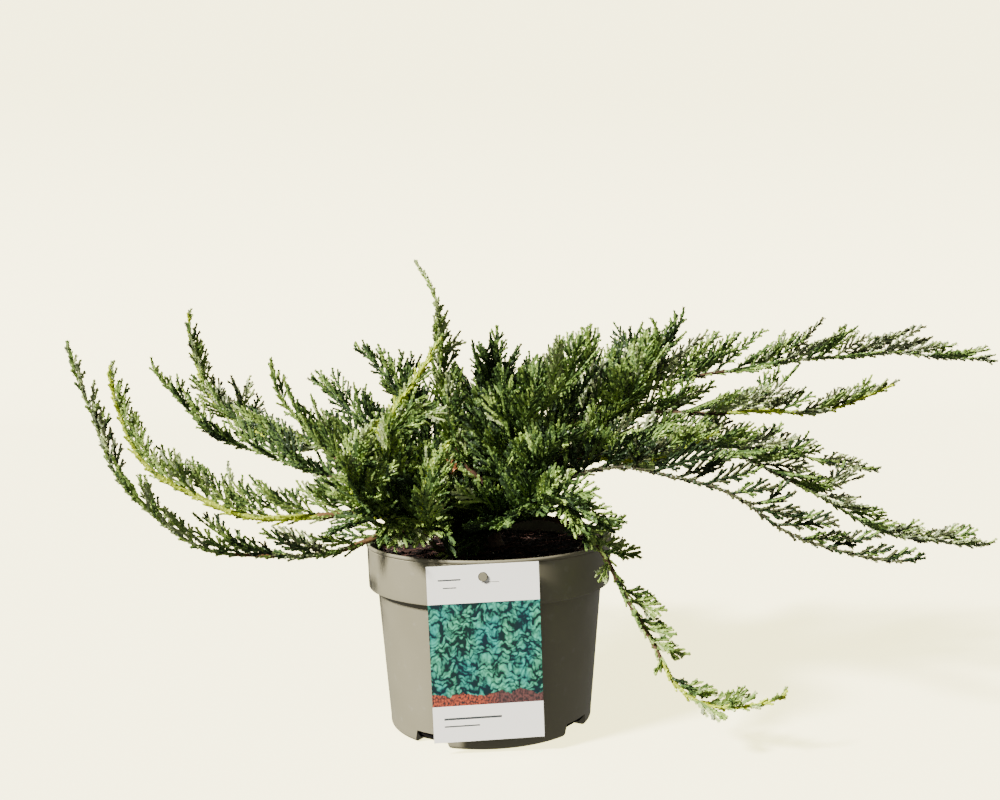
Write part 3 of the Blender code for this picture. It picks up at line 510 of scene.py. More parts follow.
class Route:
    """The line of one shoot, from its root to its tip, and the frame that things on it are placed by."""

    def __init__(self, shoot, routes, seed):
        self.shoot = shoot
        steps = max(int(round(shoot.length / SHOOT_STEP)), 4)
        share = (np.arange(steps) + 0.5) / steps
        phase = random.Random(seed).uniform(0, 2 * np.pi)
        along = share * shoot.length
        sway = SWAY_DEGREES * np.minimum(along / SWAY_LENGTH, 1.0)
        bearing = np.interp(share, (0, 1), shoot.bearing)
        bearing = bearing + sway * np.sin(2 * np.pi * along / SWAY_LENGTH + phase)
        pitch = np.interp(share, np.linspace(0, 1, len(shoot.pitch)), shoot.pitch)
        pitch = pitch + sway * np.cos(2 * np.pi * along / SWAY_LENGTH * 0.8 + phase)
        moves = heading(bearing, pitch) * (shoot.length / steps)
        self.root, start = self.start(routes)
        self.points = np.vstack([start, start + np.cumsum(moves, axis=0)])
        self.ups = heading(bearing, pitch + 90)

    def start(self, routes):
        """The point inside the parent that the shoot grows from, and the point where its solid starts."""
        shoot = self.shoot
        out = heading(shoot.bearing[0], shoot.pitch[0])
        if shoot.parent in FORKS:
            fork = FORKS[shoot.parent]
            way = heading(fork.bearing, fork.pitch)
            turn = np.linalg.norm(np.cross(way, out))
            tip = fork_root() + way * (fork.length + SEAT_GAP + shoot.radius * turn)
            return tip - way * 4.0, tip
        if shoot.parent == "trunk":
            axis, _, _ = trunk_place(shoot.place)
            return axis, axis + out * trunk_clearance(shoot)
        parent = routes[shoot.parent]
        axis, way, _ = parent.at(shoot.place)
        sine = np.linalg.norm(np.cross(way, out))
        radius = parent.radius(shoot.place) * LIMB_MEAN_WIDTH
        return axis, axis + out * (radius + SEAT_GAP + shoot.radius * abs(way @ out)) / sine

    def radius(self, along):
        return self.shoot.radius + (TIP_RADIUS - self.shoot.radius) * along / self.shoot.length

    def at(self, along):
        """Point, direction and upward normal at a distance from the root."""
        place = along / self.shoot.length * (len(self.points) - 1)
        first = int(min(max(place, 0), len(self.points) - 2))
        step = self.points[first + 1] - self.points[first]
        point = self.points[first] + step * (place - first)
        way = step / np.linalg.norm(step)
        up = self.ups[first] - way * (self.ups[first] @ way)
        return point, way, up / np.linalg.norm(up)


def all_routes():
    routes = {}
    for number, shoot in enumerate(SHOOTS):
        routes[shoot.name] = Route(shoot, routes, SEED + number)
    return routes


# Tubes with bark


def tube(points, radii, sides, relief, seed):
    """A closed tube round a line: rings of points square to it, pushed in and out by the bark's relief."""
    points = np.asarray(points)
    radii = np.asarray(radii)
    ways = np.gradient(points, axis=0)
    ways /= np.linalg.norm(ways, axis=1)[:, None]
    turn = np.arange(sides) * 2 * np.pi / sides
    across = np.cross(ways[0], (0.3, 0.9, 0.2))
    rings = []
    for point, way, radius in zip(points, ways, radii):
        across = across - way * (across @ way)
        across /= np.linalg.norm(across)
        other = np.cross(way, across)
        ring = across[None, :] * np.cos(turn)[:, None] + other[None, :] * np.sin(turn)[:, None]
        rings.append((point, ring, radius))
    bases = np.array([point + ring * radius for point, ring, radius in rings])
    outs = np.array([ring for _, ring, _ in rings])
    flat = bases.reshape(-1, 3)
    bump = smooth_noise(flat, 7.0, seed) * 0.6 + smooth_noise(flat, 2.6, seed + 1) * 0.4
    bump = np.maximum(bump, -0.35) * relief
    scale = np.repeat(radii, sides)
    flat = flat + outs.reshape(-1, 3) * (bump * scale)[:, None]
    flat = np.vstack([flat, points[0], points[-1]])
    faces = [tuple(face) for face in grid_faces(len(points), sides)]
    first, last = len(flat) - 2, len(flat) - 1
    end = (len(points) - 1) * sides
    caps = [(first, (side + 1) % sides, side) for side in range(sides)]
    caps += [(last, end + side, end + (side + 1) % sides) for side in range(sides)]
    triangles = []
    for a, b, c, d in faces:
        triangles.append((a, b, c))
        triangles.append((a, c, d))
    return flat, np.array(triangles + caps)


def joined(shapes):
    """Points and faces of several shapes as one pair of arrays."""
    points = []
    faces = []
    count = 0
    for shape_points, shape_faces in shapes:
        points.append(shape_points)
        faces.append(np.asarray(shape_faces) + count)
        count += len(shape_points)
    return np.vstack(points), np.vstack(faces)


def stem_radius(route, along):
    """The leafy stem is slimmer than the solid's, which its needles fill."""
    share = np.clip((along - route.shoot.bare) / SLIMMING_LENGTH, 0.0, 1.0)
    style = style_of(route.shoot)
    slimming = LEADER_SLIMMING if style.leader == "lime" else STEM_SLIMMING
    return route.radius(along) * style.stout * (1.0 - slimming * share)


def make_wood(routes):
    """The barky trunk with its forks, and the boughs with the leafy stems that carry on from them."""
    foot = np.array(TRUNK_FOOT)
    rise = np.array(TRUNK_TOP) - foot
    shares, radii = zip(*TRUNK_RADII)
    share = np.linspace(0, 1, 60)
    trunk = [tube(foot + share[:, None] * rise, np.interp(share, shares, radii), 40, 0.12, SEED)]
    for number, fork in enumerate(FORKS.values()):
        root = fork_root()
        way = heading(fork.bearing, fork.pitch)
        along = np.linspace(-3, fork.length, 24)
        thick = np.linspace(fork.radius + 1.2, fork.radius, 24)
        trunk.append(tube(root + along[:, None] * way, thick, 26, 0.12, SEED + 3 + number))
    trunk = mesh_object("bark_trunk", *joined(trunk), smooth=True)
    boughs = []
    stems = {name: [] for name in STEM_COLOURS}
    for number, (name, route) in enumerate(routes.items()):
        shoot = route.shoot
        place = np.arange(0, shoot.bare + 1, 1.6)
        line = [route.at(p)[0] for p in place]
        thick = [route.radius(p) for p in place]
        boughs.append(tube([route.root] + line, [thick[0] * 1.1] + thick, 14, 0.16, SEED + 20 + number))
        style = style_of(shoot)
        turning = shoot.bare + (shoot.length - shoot.bare) * style.turning
        for colour, first, last in ((style.stem, shoot.bare, turning), (style.leader, turning - 1.0, shoot.length)):
            if last - first < 3.0:
                continue
            place = np.linspace(first, last, max(int((last - first) / 3.0), 4))
            line = [route.at(p)[0] for p in place]
            stem = tube(line, [stem_radius(route, p) for p in place], 8, 0.12, SEED + 60 + number)
            stems[colour].append(stem)
    boughs = mesh_object("bark_boughs", *joined(boughs), smooth=True)
    stems = {name: mesh_object("stems_" + name, *joined(stem), smooth=True) for name, stem in stems.items()}
    return trunk, boughs, stems


# Foliage


def turned_about(axis, vector, degrees):
    """The part of the vector square to the axis, as a unit vector turned about the axis."""
    square = vector - axis * (vector @ axis)
    square /= np.linalg.norm(square)
    angle = math.radians(degrees)
    return square * math.cos(angle) + np.cross(axis, square) * math.sin(angle)


def side_way(way, up, roll, forward):
    """Direction that leaves a stem at the forward angle, rolled about it from its upper side."""
    angle = math.radians(roll)
    out = up * math.cos(angle) + np.cross(way, up) * math.sin(angle)
    lean = math.radians(forward)
    return way * math.cos(lean) + out * math.sin(lean)


def unit(vectors):
    return vectors / np.linalg.norm(vectors, axis=-1, keepdims=True)


def style_of(shoot):
    return STYLES.get(shoot.name, USUAL_STYLE)


Twig = namedtuple("Twig", "root way bend length radius kind")


def grow_spray(twigs, rng, style, root, way, stem_way, length, kind):
    """One spray: a cord that bends back along its stem, with side cords near one plane on both its sides.

    The side cords are longest a third of the way along and bend forward, so that they end nearly side by side.
    The longer ones bear a sprig on their outer side. The plane is twisted about the spray by a seeded angle. A
    spray that would dip into the pot lies on its rim.
    """
    tip = root + way * length
    if math.hypot(tip[0], tip[1]) < RIM_RADIUS + RIM_ROOM and tip[2] < POT_HEIGHT + RIM_ROOM:
        way = unit(np.array((way[0], way[1], max(way[2], (POT_HEIGHT + RIM_ROOM - root[2]) / length))))
    normal = turned_about(way, np.cross(way, stem_way), rng.uniform(-style.twist, style.twist))
    bend = (np.cross(normal, way) * SPRAY_BEND + np.array((0.0, 0.0, style.rise))) / length
    thick = CORD_RADIUS * style.thick
    # The middle cord takes a darker kind: a darker axis, and painted shade between the side cords.
    twigs.append(Twig(root, way, bend, length, thick, DARKER.get(kind, kind)))
    count = int(length * (1 - CORD_START) / CORD_GAP)
    widest = style.fan * rng.uniform(*CORD_SPREAD) * length + CORD_LEAST
    for number in range(count):
        share = CORD_START + (1 - CORD_START) * (number + 0.5) / count
        along = share * length
        ahead = unit(way + 2 * bend * along)
        point = root + way * along + bend * along * along
        side = 1 if number % 2 else -1
        swell = min(1.0, 0.6 + share * 1.4) * (1.0 - 0.7 * max(share - 0.3, 0.0) / 0.7)
        reach = widest * swell * rng.uniform(0.8, 1.12) * (style.lower if side > 0 else 1.0)
        if reach < SHORTEST_CORD:
            continue
        lean = math.radians(CORD_LEAN - 8.0 * share + rng.uniform(-3, 3))
        out = unit(np.cross(normal, ahead) * side + normal * rng.uniform(-0.14, 0.14))
        branch = ahead * math.cos(lean) + out * math.sin(lean)
        draw = ahead * (CORD_DRAW / reach)
        tone = tone_with_painted_light(rng, kind, share)
        twigs.append(Twig(point, branch, draw, reach, thick, tone))
        if reach < SPRIG_REACH:
            continue
        spot = point + branch * reach * SPRIG_PLACE + draw * (reach * SPRIG_PLACE) ** 2
        onward = unit(branch + 2 * draw * reach * SPRIG_PLACE)
        aside = unit(out - onward * (out @ onward))
        angle = math.radians(SPRIG_LEAN + rng.uniform(-5, 5))
        sprig = reach * SPRIG_SHARE
        sprig_way = onward * math.cos(angle) + aside * math.sin(angle)
        # A sprig takes a darker kind than its cord: painted shade under and between the cords.
        twigs.append(Twig(spot, sprig_way, onward * (0.2 / sprig), sprig, thick, DARKER.get(tone, tone)))


def tone_with_painted_light(rng, kind, share):
    """The kind of one cord: mostly its spray's own, now and then a paler one as a painted highlight, more so outward,
    or a darker one as painted shade.
    """
    draw = rng.random()
    if draw < PAINTED_HIGHLIGHT_CHANCE[0] + (PAINTED_HIGHLIGHT_CHANCE[1] - PAINTED_HIGHLIGHT_CHANCE[0]) * share:
        return PALER.get(kind, kind)
    if draw > 1.0 - PAINTED_SHADE_CHANCE:
        return DARKER.get(kind, kind)
    return kind


def pick_kind(rng, shoot, share):
    """Deals a kind of foliage to a spray out of the shoot's mood, from its dark end near the root to its pale one."""
    mood = MOODS[style_of(shoot).mood]
    place = MOOD_START + MOOD_RISE * share + rng.gauss(0, MOOD_SPREAD)
    return mood[int(min(max(place, 0.0), 0.99) * len(mood))]


def grow_side_twig(twigs, rng, shoot, point, way, up, length, roll, kind, rust=0.0):
    """A twig off the stem, bent upward as in the solids, with small sprays all round it, a share of them dead."""
    style = style_of(shoot)
    ahead = side_way(way, up, roll, rng.uniform(*TWIG_FORWARD))
    bend = (up * math.tan(math.radians(TWIG_RISE)) + way * TWIG_DRAW) / (2 * length)
    twigs.append(Twig(point, ahead, bend, length, CORD_RADIUS + 0.15, kind))
    for number, step in enumerate(np.arange(TWIG_SPRAY_START, length, TWIG_SPRAY_GAP)):
        onward = unit(ahead + 2 * bend * step)
        spot = point + ahead * step + bend * step * step
        turn = ROUND_ROLLS[number % len(ROUND_ROLLS)] + rng.uniform(-ROLL_SPREAD, ROLL_SPREAD)
        leave = side_way(onward, turned_about(onward, up, 0.0), turn, 40)
        size = rng.uniform(*TWIG_SPRAY_SIZES) * min(1.0, 0.35 + (length - step) / 24.0)
        tone = "rust" if rng.random() < rust else tone_with_painted_light(rng, kind, 0.5)
        grow_spray(twigs, rng, style, spot, leave, onward, size, tone)


def grow_mass(shoot, route, seed):
    """All twigs of one mass: sprays along its stem, and side twigs with sprays of their own. Then its stem's leaves."""
    rng = random.Random(seed)
    style = style_of(shoot)
    twigs = []
    span = shoot.length - style.start
    count = int(span / style.gap)
    for number in range(count):
        share = (number + 0.5) / count
        point, way, up = route.at(style.start + span * share)
        roll = style.rolls[number % len(style.rolls)] + rng.uniform(-ROLL_SPREAD, ROLL_SPREAD)
        lean = style.lean[0] + (style.lean[1] - style.lean[0]) * share + rng.uniform(-FORWARD_SPREAD, FORWARD_SPREAD)
        size = SPRAY_ROOT + (SPRAY_TIP - SPRAY_ROOT) * share
        size *= style.size * rng.uniform(*SPRAY_SIZES) * min(1.0, TIP_SHARE + (1 - share) * span / style.taper)
        if share > style.narrow:
            roll = LEADER_ROLLS[number % len(LEADER_ROLLS)] + rng.uniform(-ROLL_SPREAD, ROLL_SPREAD)
            lean = LEADER_LEAN
            size *= LEADER_SIZE
        elif abs(roll) > 106:
            size *= 0.6
        kind = pick_kind(rng, shoot, share)
        if share > style.narrow and style.leader == "lime":
            kind = rng.choice(("lime", "bright"))
        grow_spray(twigs, rng, style, point, side_way(way, up, roll, lean), way, size, kind)
    first = max(shoot.bare, style.start)
    leafy = shoot.length * (1.0 - BARE_TIP_SHARE) - first
    for number in range(shoot.twigs):
        share = (number + 0.5) / shoot.twigs * TWIG_ZONE_SHARE
        point, way, up = route.at(first + leafy * share)
        length = min(rng.uniform(*TWIG_LENGTH), leafy * (1.0 - share) * TWIG_REACH_SHARE) * style.reach
        roll = rng.choice((-1, 1)) * rng.uniform(*TWIG_ROLLS)
        grow_side_twig(twigs, rng, shoot, point, way, up, length, roll, pick_kind(rng, shoot, share))
    if style.heart or shoot.parent in FORKS or (shoot.parent == "trunk" and shoot.place > HEART_HEIGHT):
        for share in HEART_PLACES:
            point, way, up = route.at(shoot.bare * share)
            length = rng.uniform(*HEART_TWIG_LENGTH)
            # Heart twigs take dark kinds: painted shade inside the crown. A share of them are dead and rust coloured.
            kind = MOODS["dark"][rng.randrange(5)]
            grow_side_twig(twigs, rng, shoot, point, way, up, length, rng.uniform(-70, 70), kind, RUST_CHANCE)
    leaves = []
    turning = shoot.bare + (shoot.length - shoot.bare) * style.turning
    for step in np.arange(turning, shoot.length - STEM_LEAF_STEP * 2, STEM_LEAF_STEP):
        point, way, _ = route.at(step)
        kind = "lime" if style.leader == "lime" else pick_kind(rng, shoot, 0.7)
        thick = stem_radius(route, step) + NEEDLE_SINK / 2
        leaves.append(Twig(point, way, way * 0.0, STEM_LEAF_STEP * 2, thick, kind))
    leafy_from = shoot.bare * (LEAFY_BOUGH_SHARE if style.stem == "tan" else 1.0)
    for number, step in enumerate(np.arange(leafy_from, shoot.length - STEM_SPRIG_STEP, STEM_SPRIG_STEP)):
        point, way, up = route.at(step)
        roll = number * STEM_SPRIG_TURN + rng.uniform(-ROLL_SPREAD, ROLL_SPREAD)
        young = style.leader == "lime" and step > turning
        kind = rng.choice(("lime", "lime", "bright")) if young else pick_kind(rng, shoot, 0.6)
        length = rng.uniform(*STEM_SPRIG_LENGTH) * max(1.0, float(stem_radius(route, step)) / SPRIG_STEM_RADIUS)
        sprig_way = side_way(way, up, roll, STEM_SPRIG_LEAN)
        twigs.append(Twig(point, sprig_way, way * (0.35 / length), length, CORD_RADIUS, kind))
    return twigs, leaves


def twig_arrays(twigs):
    return (
        np.array([twig.root for twig in twigs]),
        np.array([twig.way for twig in twigs]),
        np.array([twig.bend for twig in twigs]),
        np.array([twig.length for twig in twigs]),
        np.array([twig.radius for twig in twigs]),
    )


def square_to(ways):
    """Two unit vectors square to each way and to each other."""
    steep = np.abs(ways[:, 2:]) > 0.8
    side = unit(np.cross(ways, np.where(steep, (1.0, 0.0, 0.0), (0.0, 0.0, 1.0))))
    return side, np.cross(ways, side)


def needle_mesh(twigs, seed):
    """Scale-like needles of all the twigs, each a closed four-faced boat that leans forward from the twig's side.

    A needle's root lies near the twig's curve, root + way * s + bend * s * s. Opposite pairs of needles turn a
    quarter about the twig from one pair to the next, and close in on it towards its tip. A needle is widest at
    NEEDLE_WIDEST of its length, where its two side corners stand proud of its keel.
    """
    rng = np.random.default_rng(seed)
    roots, ways, bends, lengths, radii = twig_arrays(twigs)
    counts = np.maximum((lengths / NEEDLE_GAP).astype(int), 2) * 2
    owner = np.repeat(np.arange(len(twigs)), counts)
    order = np.arange(len(owner)) - np.repeat(np.cumsum(counts) - counts, counts)
    share = (order // 2 + 0.4) / (counts[owner] / 2)
    along = share * lengths[owner]
    place = roots[owner] + ways[owner] * along[:, None] + bends[owner] * (along**2)[:, None]
    ahead = unit(ways[owner] + 2 * bends[owner] * along[:, None])
    side, over = square_to(ahead)
    turn = (order // 2) * (np.pi / 2) + (order % 2) * np.pi + rng.normal(0, 0.3, len(owner)) + owner * 0.7
    out = side * np.cos(turn)[:, None] + over * np.sin(turn)[:, None]
    across = np.cross(ahead, out)
    taper = np.clip((1.0 - share) * CORD_TAPER, CORD_END, 1.0)
    lean = np.radians(NEEDLE_SPREAD + rng.normal(0, 4, len(owner))) * taper
    point = ahead * np.cos(lean)[:, None] + out * np.sin(lean)[:, None]
    back = out * np.cos(lean)[:, None] - ahead * np.sin(lean)[:, None]
    size = (rng.uniform(*NEEDLE_LENGTH, len(owner)) * (0.7 + 0.3 * taper))[:, None]
    foot = place + out * ((radii[owner] - NEEDLE_SINK) * taper)[:, None]
    middle = foot + point * size * NEEDLE_WIDEST + back * NEEDLE_LIFT
    half = across * (NEEDLE_HALF_WIDTH * (0.75 + 0.25 * taper))[:, None]
    corners = np.stack([foot, middle - half, middle + half, foot + point * size], axis=1)
    first = np.arange(len(owner))[:, None, None] * 4
    faces = np.array([(0, 1, 2), (2, 1, 3), (1, 0, 3), (0, 2, 3)])[None] + first
    return corners.reshape(-1, 3), faces.reshape(-1, 3)


def core_mesh(twigs):
    """Slim three-sided cores of the twigs, closed to a point at both ends."""
    roots, ways, bends, lengths, radii = twig_arrays(twigs)
    side, over = square_to(ways)
    rings = []
    for share, scale in ((0.0, 1.0), (0.92, 0.85)):
        along = share * lengths
        centre = roots + ways * along[:, None] + bends * (along**2)[:, None]
        for turn in (0.0, 2.094, 4.189):
            rings.append(centre + (side * math.cos(turn) + over * math.sin(turn)) * (radii * scale)[:, None])
    back = roots - ways * 0.5
    tip = roots + ways * lengths[:, None] + bends * (lengths**2)[:, None]
    points = np.stack(rings + [back, tip], axis=1)
    faces = []
    for corner in range(3):
        other = (corner + 1) % 3
        faces.append((corner, other, 3 + other))
        faces.append((corner, 3 + other, 3 + corner))
        faces.append((6, other, corner))
        faces.append((7, 3 + corner, 3 + other))
    first = np.arange(len(twigs))[:, None, None] * 8
    return points.reshape(-1, 3), (np.array(faces)[None] + first).reshape(-1, 3)


def make_foliage(routes):
    """Needles and twig cores, joined by kind into pieces under the triangle limit."""
    twigs = []
    leaves = []
    for number, shoot in enumerate(SHOOTS):
        grown, clothing = grow_mass(shoot, routes[shoot.name], SEED * 11 + number)
        twigs += grown
        leaves += clothing
    pieces = []
    for number, name in enumerate(KIND_NAMES):
        chosen = [twig for twig in twigs if twig.kind == name]
        if not chosen:
            continue
        clothing = [leaf for leaf in leaves if leaf.kind == name]
        needles = needle_mesh(chosen + clothing, SEED + number)
        cores = core_mesh(chosen)
        for label, (points, faces), block in (("needles", needles, 4), ("twigs", cores, 12)):
            share = int(math.ceil(len(faces) / MOST_TRIANGLES))
            whole = len(faces) // block
            corners = len(points) // whole
            for part in range(share):
                low, high = whole * part // share, whole * (part + 1) // share
                item = mesh_object(
                    f"{label}_{name}_{part + 1}",
                    points[low * corners : high * corners],
                    faces[low * block : high * block] - low * corners,
                )
                pieces.append((item, label, name))
    print("twigs", len(twigs), "metres", sum(twig.length for twig in twigs) / 1000, "tri", sum(len(p[0].data.polygons) for p in pieces))
    return pieces


# Pot


def wall_radius(height):
    share = height / BAND_FOOT_HEIGHT
    return WALL_FOOT_RADIUS + (WALL_TOP_RADIUS - WALL_FOOT_RADIUS) * share


def arc(centre, radius, first, last, steps):
    """Points of an arc in the (radius, height) plane, between two angles in degrees."""
    turn = np.radians(np.linspace(first, last, steps))
    return [(centre[0] + radius * math.cos(t), centre[1] + radius * math.sin(t)) for t in turn]


def pot_profile():
    """Outer side from the axis under the base up to the lip, then down the inside back to the axis."""
    lip_foot = POT_HEIGHT - LIP_HEIGHT
    band_top = RIM_RADIUS - LIP_STEP
    outer = [(BASE_RADIUS * share, 0.0) for share in (0.0, 0.3, 0.7, 0.95)]
    outer += arc((BASE_RADIUS - 0.6, 3.2), 3.2, -90, -8, 8)
    outer += [(wall_radius(z) + 0.0, z) for z in np.linspace(6.0, BAND_FOOT_HEIGHT - 0.6, 26)]
    outer += arc((WALL_TOP_RADIUS + 0.9, BAND_FOOT_HEIGHT - 0.4), 0.9, 180, 90, 4)
    outer += arc((BAND_FOOT_RADIUS - 0.7, BAND_FOOT_HEIGHT + 0.7), 0.7, -90, 0, 6)
    outer += [(BAND_FOOT_RADIUS + (band_top - BAND_FOOT_RADIUS) * s, BAND_FOOT_HEIGHT + 0.7 + (lip_foot - BAND_FOOT_HEIGHT - 1.2) * s) for s in np.linspace(0.1, 1, 10)]
    outer += [(band_top - 0.25, lip_foot - 0.2)]
    outer += arc((RIM_RADIUS - 1.0, lip_foot + 1.2), 1.0, -60, 0, 5)
    outer += arc((RIM_RADIUS - 1.0, POT_HEIGHT - 1.0), 1.0, 0, 90, 6)
    inner = arc((band_top - WALL_THICKNESS + 1.0, POT_HEIGHT - 0.7), 0.7, 90, 180, 5)
    inner += [(band_top - WALL_THICKNESS, lip_foot)]
    inner += [(BAND_FOOT_RADIUS - WALL_THICKNESS, BAND_FOOT_HEIGHT + 3.4)]
    inner += [(wall_radius(BAND_FOOT_HEIGHT) - WALL_THICKNESS, BAND_FOOT_HEIGHT + 2.0)]
    inner += [(wall_radius(6.0) - WALL_THICKNESS, 6.0)]
    inner += [(BASE_RADIUS - 3.0, WALL_THICKNESS + 0.2), (0.0, WALL_THICKNESS + 0.2)]
    return np.array(outer + inner)


def turned(name, profile, steps):
    """A closed turned mesh: the profile's points swept round the axis, its first and last points as poles."""
    turn = np.arange(steps) * 2 * np.pi / steps
    body = profile[1:-1]
    rings = np.stack(
        [
            body[:, :1] * np.cos(turn)[None],
            body[:, :1] * np.sin(turn)[None],
            np.repeat(body[:, 1:], steps, axis=1),
        ],
        axis=-1,
    ).reshape(-1, 3)
    quads = grid_faces(len(body), steps)
    triangles = np.vstack([quads[:, [0, 1, 2]], quads[:, [0, 2, 3]]])
    first, last = len(rings), len(rings) + 1
    end = (len(body) - 1) * steps
    side = np.arange(steps)
    after = (side + 1) % steps
    caps = np.vstack(
        [
            np.stack([np.full(steps, first), after, side], axis=-1),
            np.stack([np.full(steps, last), end + side, end + after], axis=-1),
        ]
    )
    poles = [(0.0, 0.0, profile[0][1]), (0.0, 0.0, profile[-1][1])]
    return mesh_object(name, np.vstack([rings, poles]), np.vstack([triangles, caps]))


def label_frame():
    """The label's own frame, in millimetres: its origin is the middle of its top edge."""
    roll = Matrix.Rotation(math.radians(-LABEL_ROLL), 4, "Y")
    lean = Matrix.Rotation(math.radians(LABEL_LEAN), 4, "X")
    return Matrix.Translation(Vector(LABEL_TOP)) @ roll @ lean


def make_pot():
    pot = turned("pot_shell", pot_profile(), POT_STEPS)
    for bearing in NOTCH_BEARINGS:
        points, faces = box_points(NOTCH_DEPTH, NOTCH_WIDTH, NOTCH_HEIGHT + 2.0)
        points[:, 1] *= np.where(points[:, 2] > 0, 0.86, 1.06)
        points += (WALL_FOOT_RADIUS - NOTCH_DEPTH / 2 + 3.0, 0.0, NOTCH_HEIGHT / 2 - 1.0)
        turn = math.radians(bearing)
        matrix = np.array([(math.cos(turn), -math.sin(turn), 0), (math.sin(turn), math.cos(turn), 0), (0, 0, 1)])
        boolean(pot, "DIFFERENCE", mesh_object("notch cutter", points @ matrix.T, faces))
    hole = label_frame() @ Vector((0.0, 0.0, -LABEL_HOLE_DROP))
    root = -(RIM_RADIUS - LIP_STEP - 1.6)
    reach = hole.y - BUTTON_REACH
    points, faces = drum_points(BUTTON_RADIUS, root - reach)
    boolean(pot, "UNION", mesh_object("button", points + (hole.x, (root + reach) / 2, hole.z), faces))
    round_edges(pot, 35)
    return pot


# Label


def make_label():
    """The card with its hole and slit. Its UV map runs from 0 to 1 across the card and down it."""
    points, faces = box_points(LABEL_WIDTH, LABEL_THICKNESS, LABEL_LENGTH)
    card = mesh_object("label_card", points - (0, 0, LABEL_LENGTH / 2), faces)
    drum, drum_faces = drum_points(LABEL_HOLE_RADIUS, LABEL_THICKNESS * 8)
    boolean(card, "DIFFERENCE", mesh_object("hole", drum - (0, 0, LABEL_HOLE_DROP), drum_faces))
    length, width = LABEL_SLIT
    slit, slit_faces = box_points(length, LABEL_THICKNESS * 8, width)
    boolean(card, "DIFFERENCE", mesh_object("slit", slit + (length / 2 - 1.0, 0, -LABEL_SLIT_DROP), slit_faces))
    mesh = card.data
    layer = mesh.uv_layers.new(name="card")
    for loop in mesh.loops:
        place = mesh.vertices[loop.vertex_index].co / MM
        layer.data[loop.index].uv = (place.x / LABEL_WIDTH + 0.5, -place.z / LABEL_LENGTH)
    mesh.transform(Matrix.Scale(1 / MM, 4))
    mesh.transform(label_frame())
    mesh.transform(Matrix.Scale(MM, 4))
    return card


# Soil


def soil_height(x, y):
    """Height of the soil's surface: a low mound in the middle, lumpy at two scales."""
    radius = np.hypot(x, y)
    places = np.stack([x, y, 0 * x], axis=-1)
    mound = (SOIL_CROWN_HEIGHT - SOIL_HEIGHT) * np.clip(1.3 - radius / 40.0, 0, 1)
    lumps = smooth_noise(places, 22.0, 5) * 0.9 + smooth_noise(places, 6.0, 6) * 0.45
    return SOIL_HEIGHT + mound + lumps


def make_soil():
    """A lumpy disc over a closed body, crumbs on it, bark fibres and a few pale specks."""
    radii = np.linspace(0.0, SOIL_RADIUS, 60)[1:]
    steps = 220
    turn = np.arange(steps) * 2 * np.pi / steps
    x = radii[:, None] * np.cos(turn)[None]
    y = radii[:, None] * np.sin(turn)[None]
    z = soil_height(x.ravel(), y.ravel()).reshape(x.shape)
    surface = np.stack([x, y, z], axis=-1).reshape(-1, 3)
    foot_radii = ((SOIL_RADIUS - 0.2, BAND_FOOT_HEIGHT + 5.0), (74.5, BAND_FOOT_HEIGHT), (66.5, 5.0), (62.0, 2.2))
    foot = [np.stack([r * np.cos(turn), r * np.sin(turn), 0 * turn + h], axis=-1) for r, h in foot_radii]
    points = np.vstack([surface] + foot)
    rows = len(radii) + len(foot)
    quads = grid_faces(rows, steps)[:, ::-1]
    triangles = np.vstack([quads[:, [0, 1, 2]], quads[:, [0, 2, 3]]])
    top, under = len(points), len(points) + 1
    side = np.arange(steps)
    after = (side + 1) % steps
    end = (rows - 1) * steps
    caps = np.vstack(
        [
            np.stack([np.full(steps, top), side, after], axis=-1),
            np.stack([np.full(steps, under), end + after, end + side], axis=-1),
        ]
    )
    poles = [(0, 0, soil_height(np.zeros(1), np.zeros(1))[0]), (0, 0, 2.2)]
    soil = mesh_object("soil_body", np.vstack([points, poles]), np.vstack([triangles, caps]), smooth=True)
    return soil, make_crumbs(), make_fibres(), make_specks()


def lumps(places, sizes, seed):
    """Closed eight-faced lumps at the places, each an octahedron stretched and turned at random."""
    rng = np.random.default_rng(seed)
    corners = np.array([(1, 0, 0), (-1, 0, 0), (0, 1, 0), (0, -1, 0), (0, 0, 1), (0, 0, -1)], dtype=float)
    faces = np.array([(0, 2, 4), (2, 1, 4), (1, 3, 4), (3, 0, 4), (2, 0, 5), (1, 2, 5), (3, 1, 5), (0, 3, 5)])
    count = len(places)
    stretch = rng.uniform(0.5, 1.2, (count, 1, 3))
    turns, _ = np.linalg.qr(rng.normal(size=(count, 3, 3)))
    turns[np.linalg.det(turns) < 0] *= -1
    shape = corners[None] * (1 + rng.uniform(-0.25, 0.25, (count, 6, 1))) * stretch
    shape = np.einsum("nij,nkj->nki", turns, shape) * sizes[:, None, None] + places[:, None]
    return shape.reshape(-1, 3), (faces[None] + np.arange(count)[:, None, None] * 6).reshape(-1, 3)


def scattered(count, seed, edge=3.0):
    rng = np.random.default_rng(seed)
    radius = (SOIL_RADIUS - edge) * np.sqrt(rng.uniform(0.01, 1, count))
    turn = rng.uniform(0, 2 * np.pi, count)
    x, y = radius * np.cos(turn), radius * np.sin(turn)
    return np.stack([x, y, soil_height(x, y)], axis=-1), rng


def make_crumbs():
    places, rng = scattered(CRUMB_COUNT, 21)
    sizes = rng.gamma(3.0, 0.32, CRUMB_COUNT).clip(0.4, 2.6)
    return mesh_object("soil_crumbs", *lumps(places, sizes, 22))


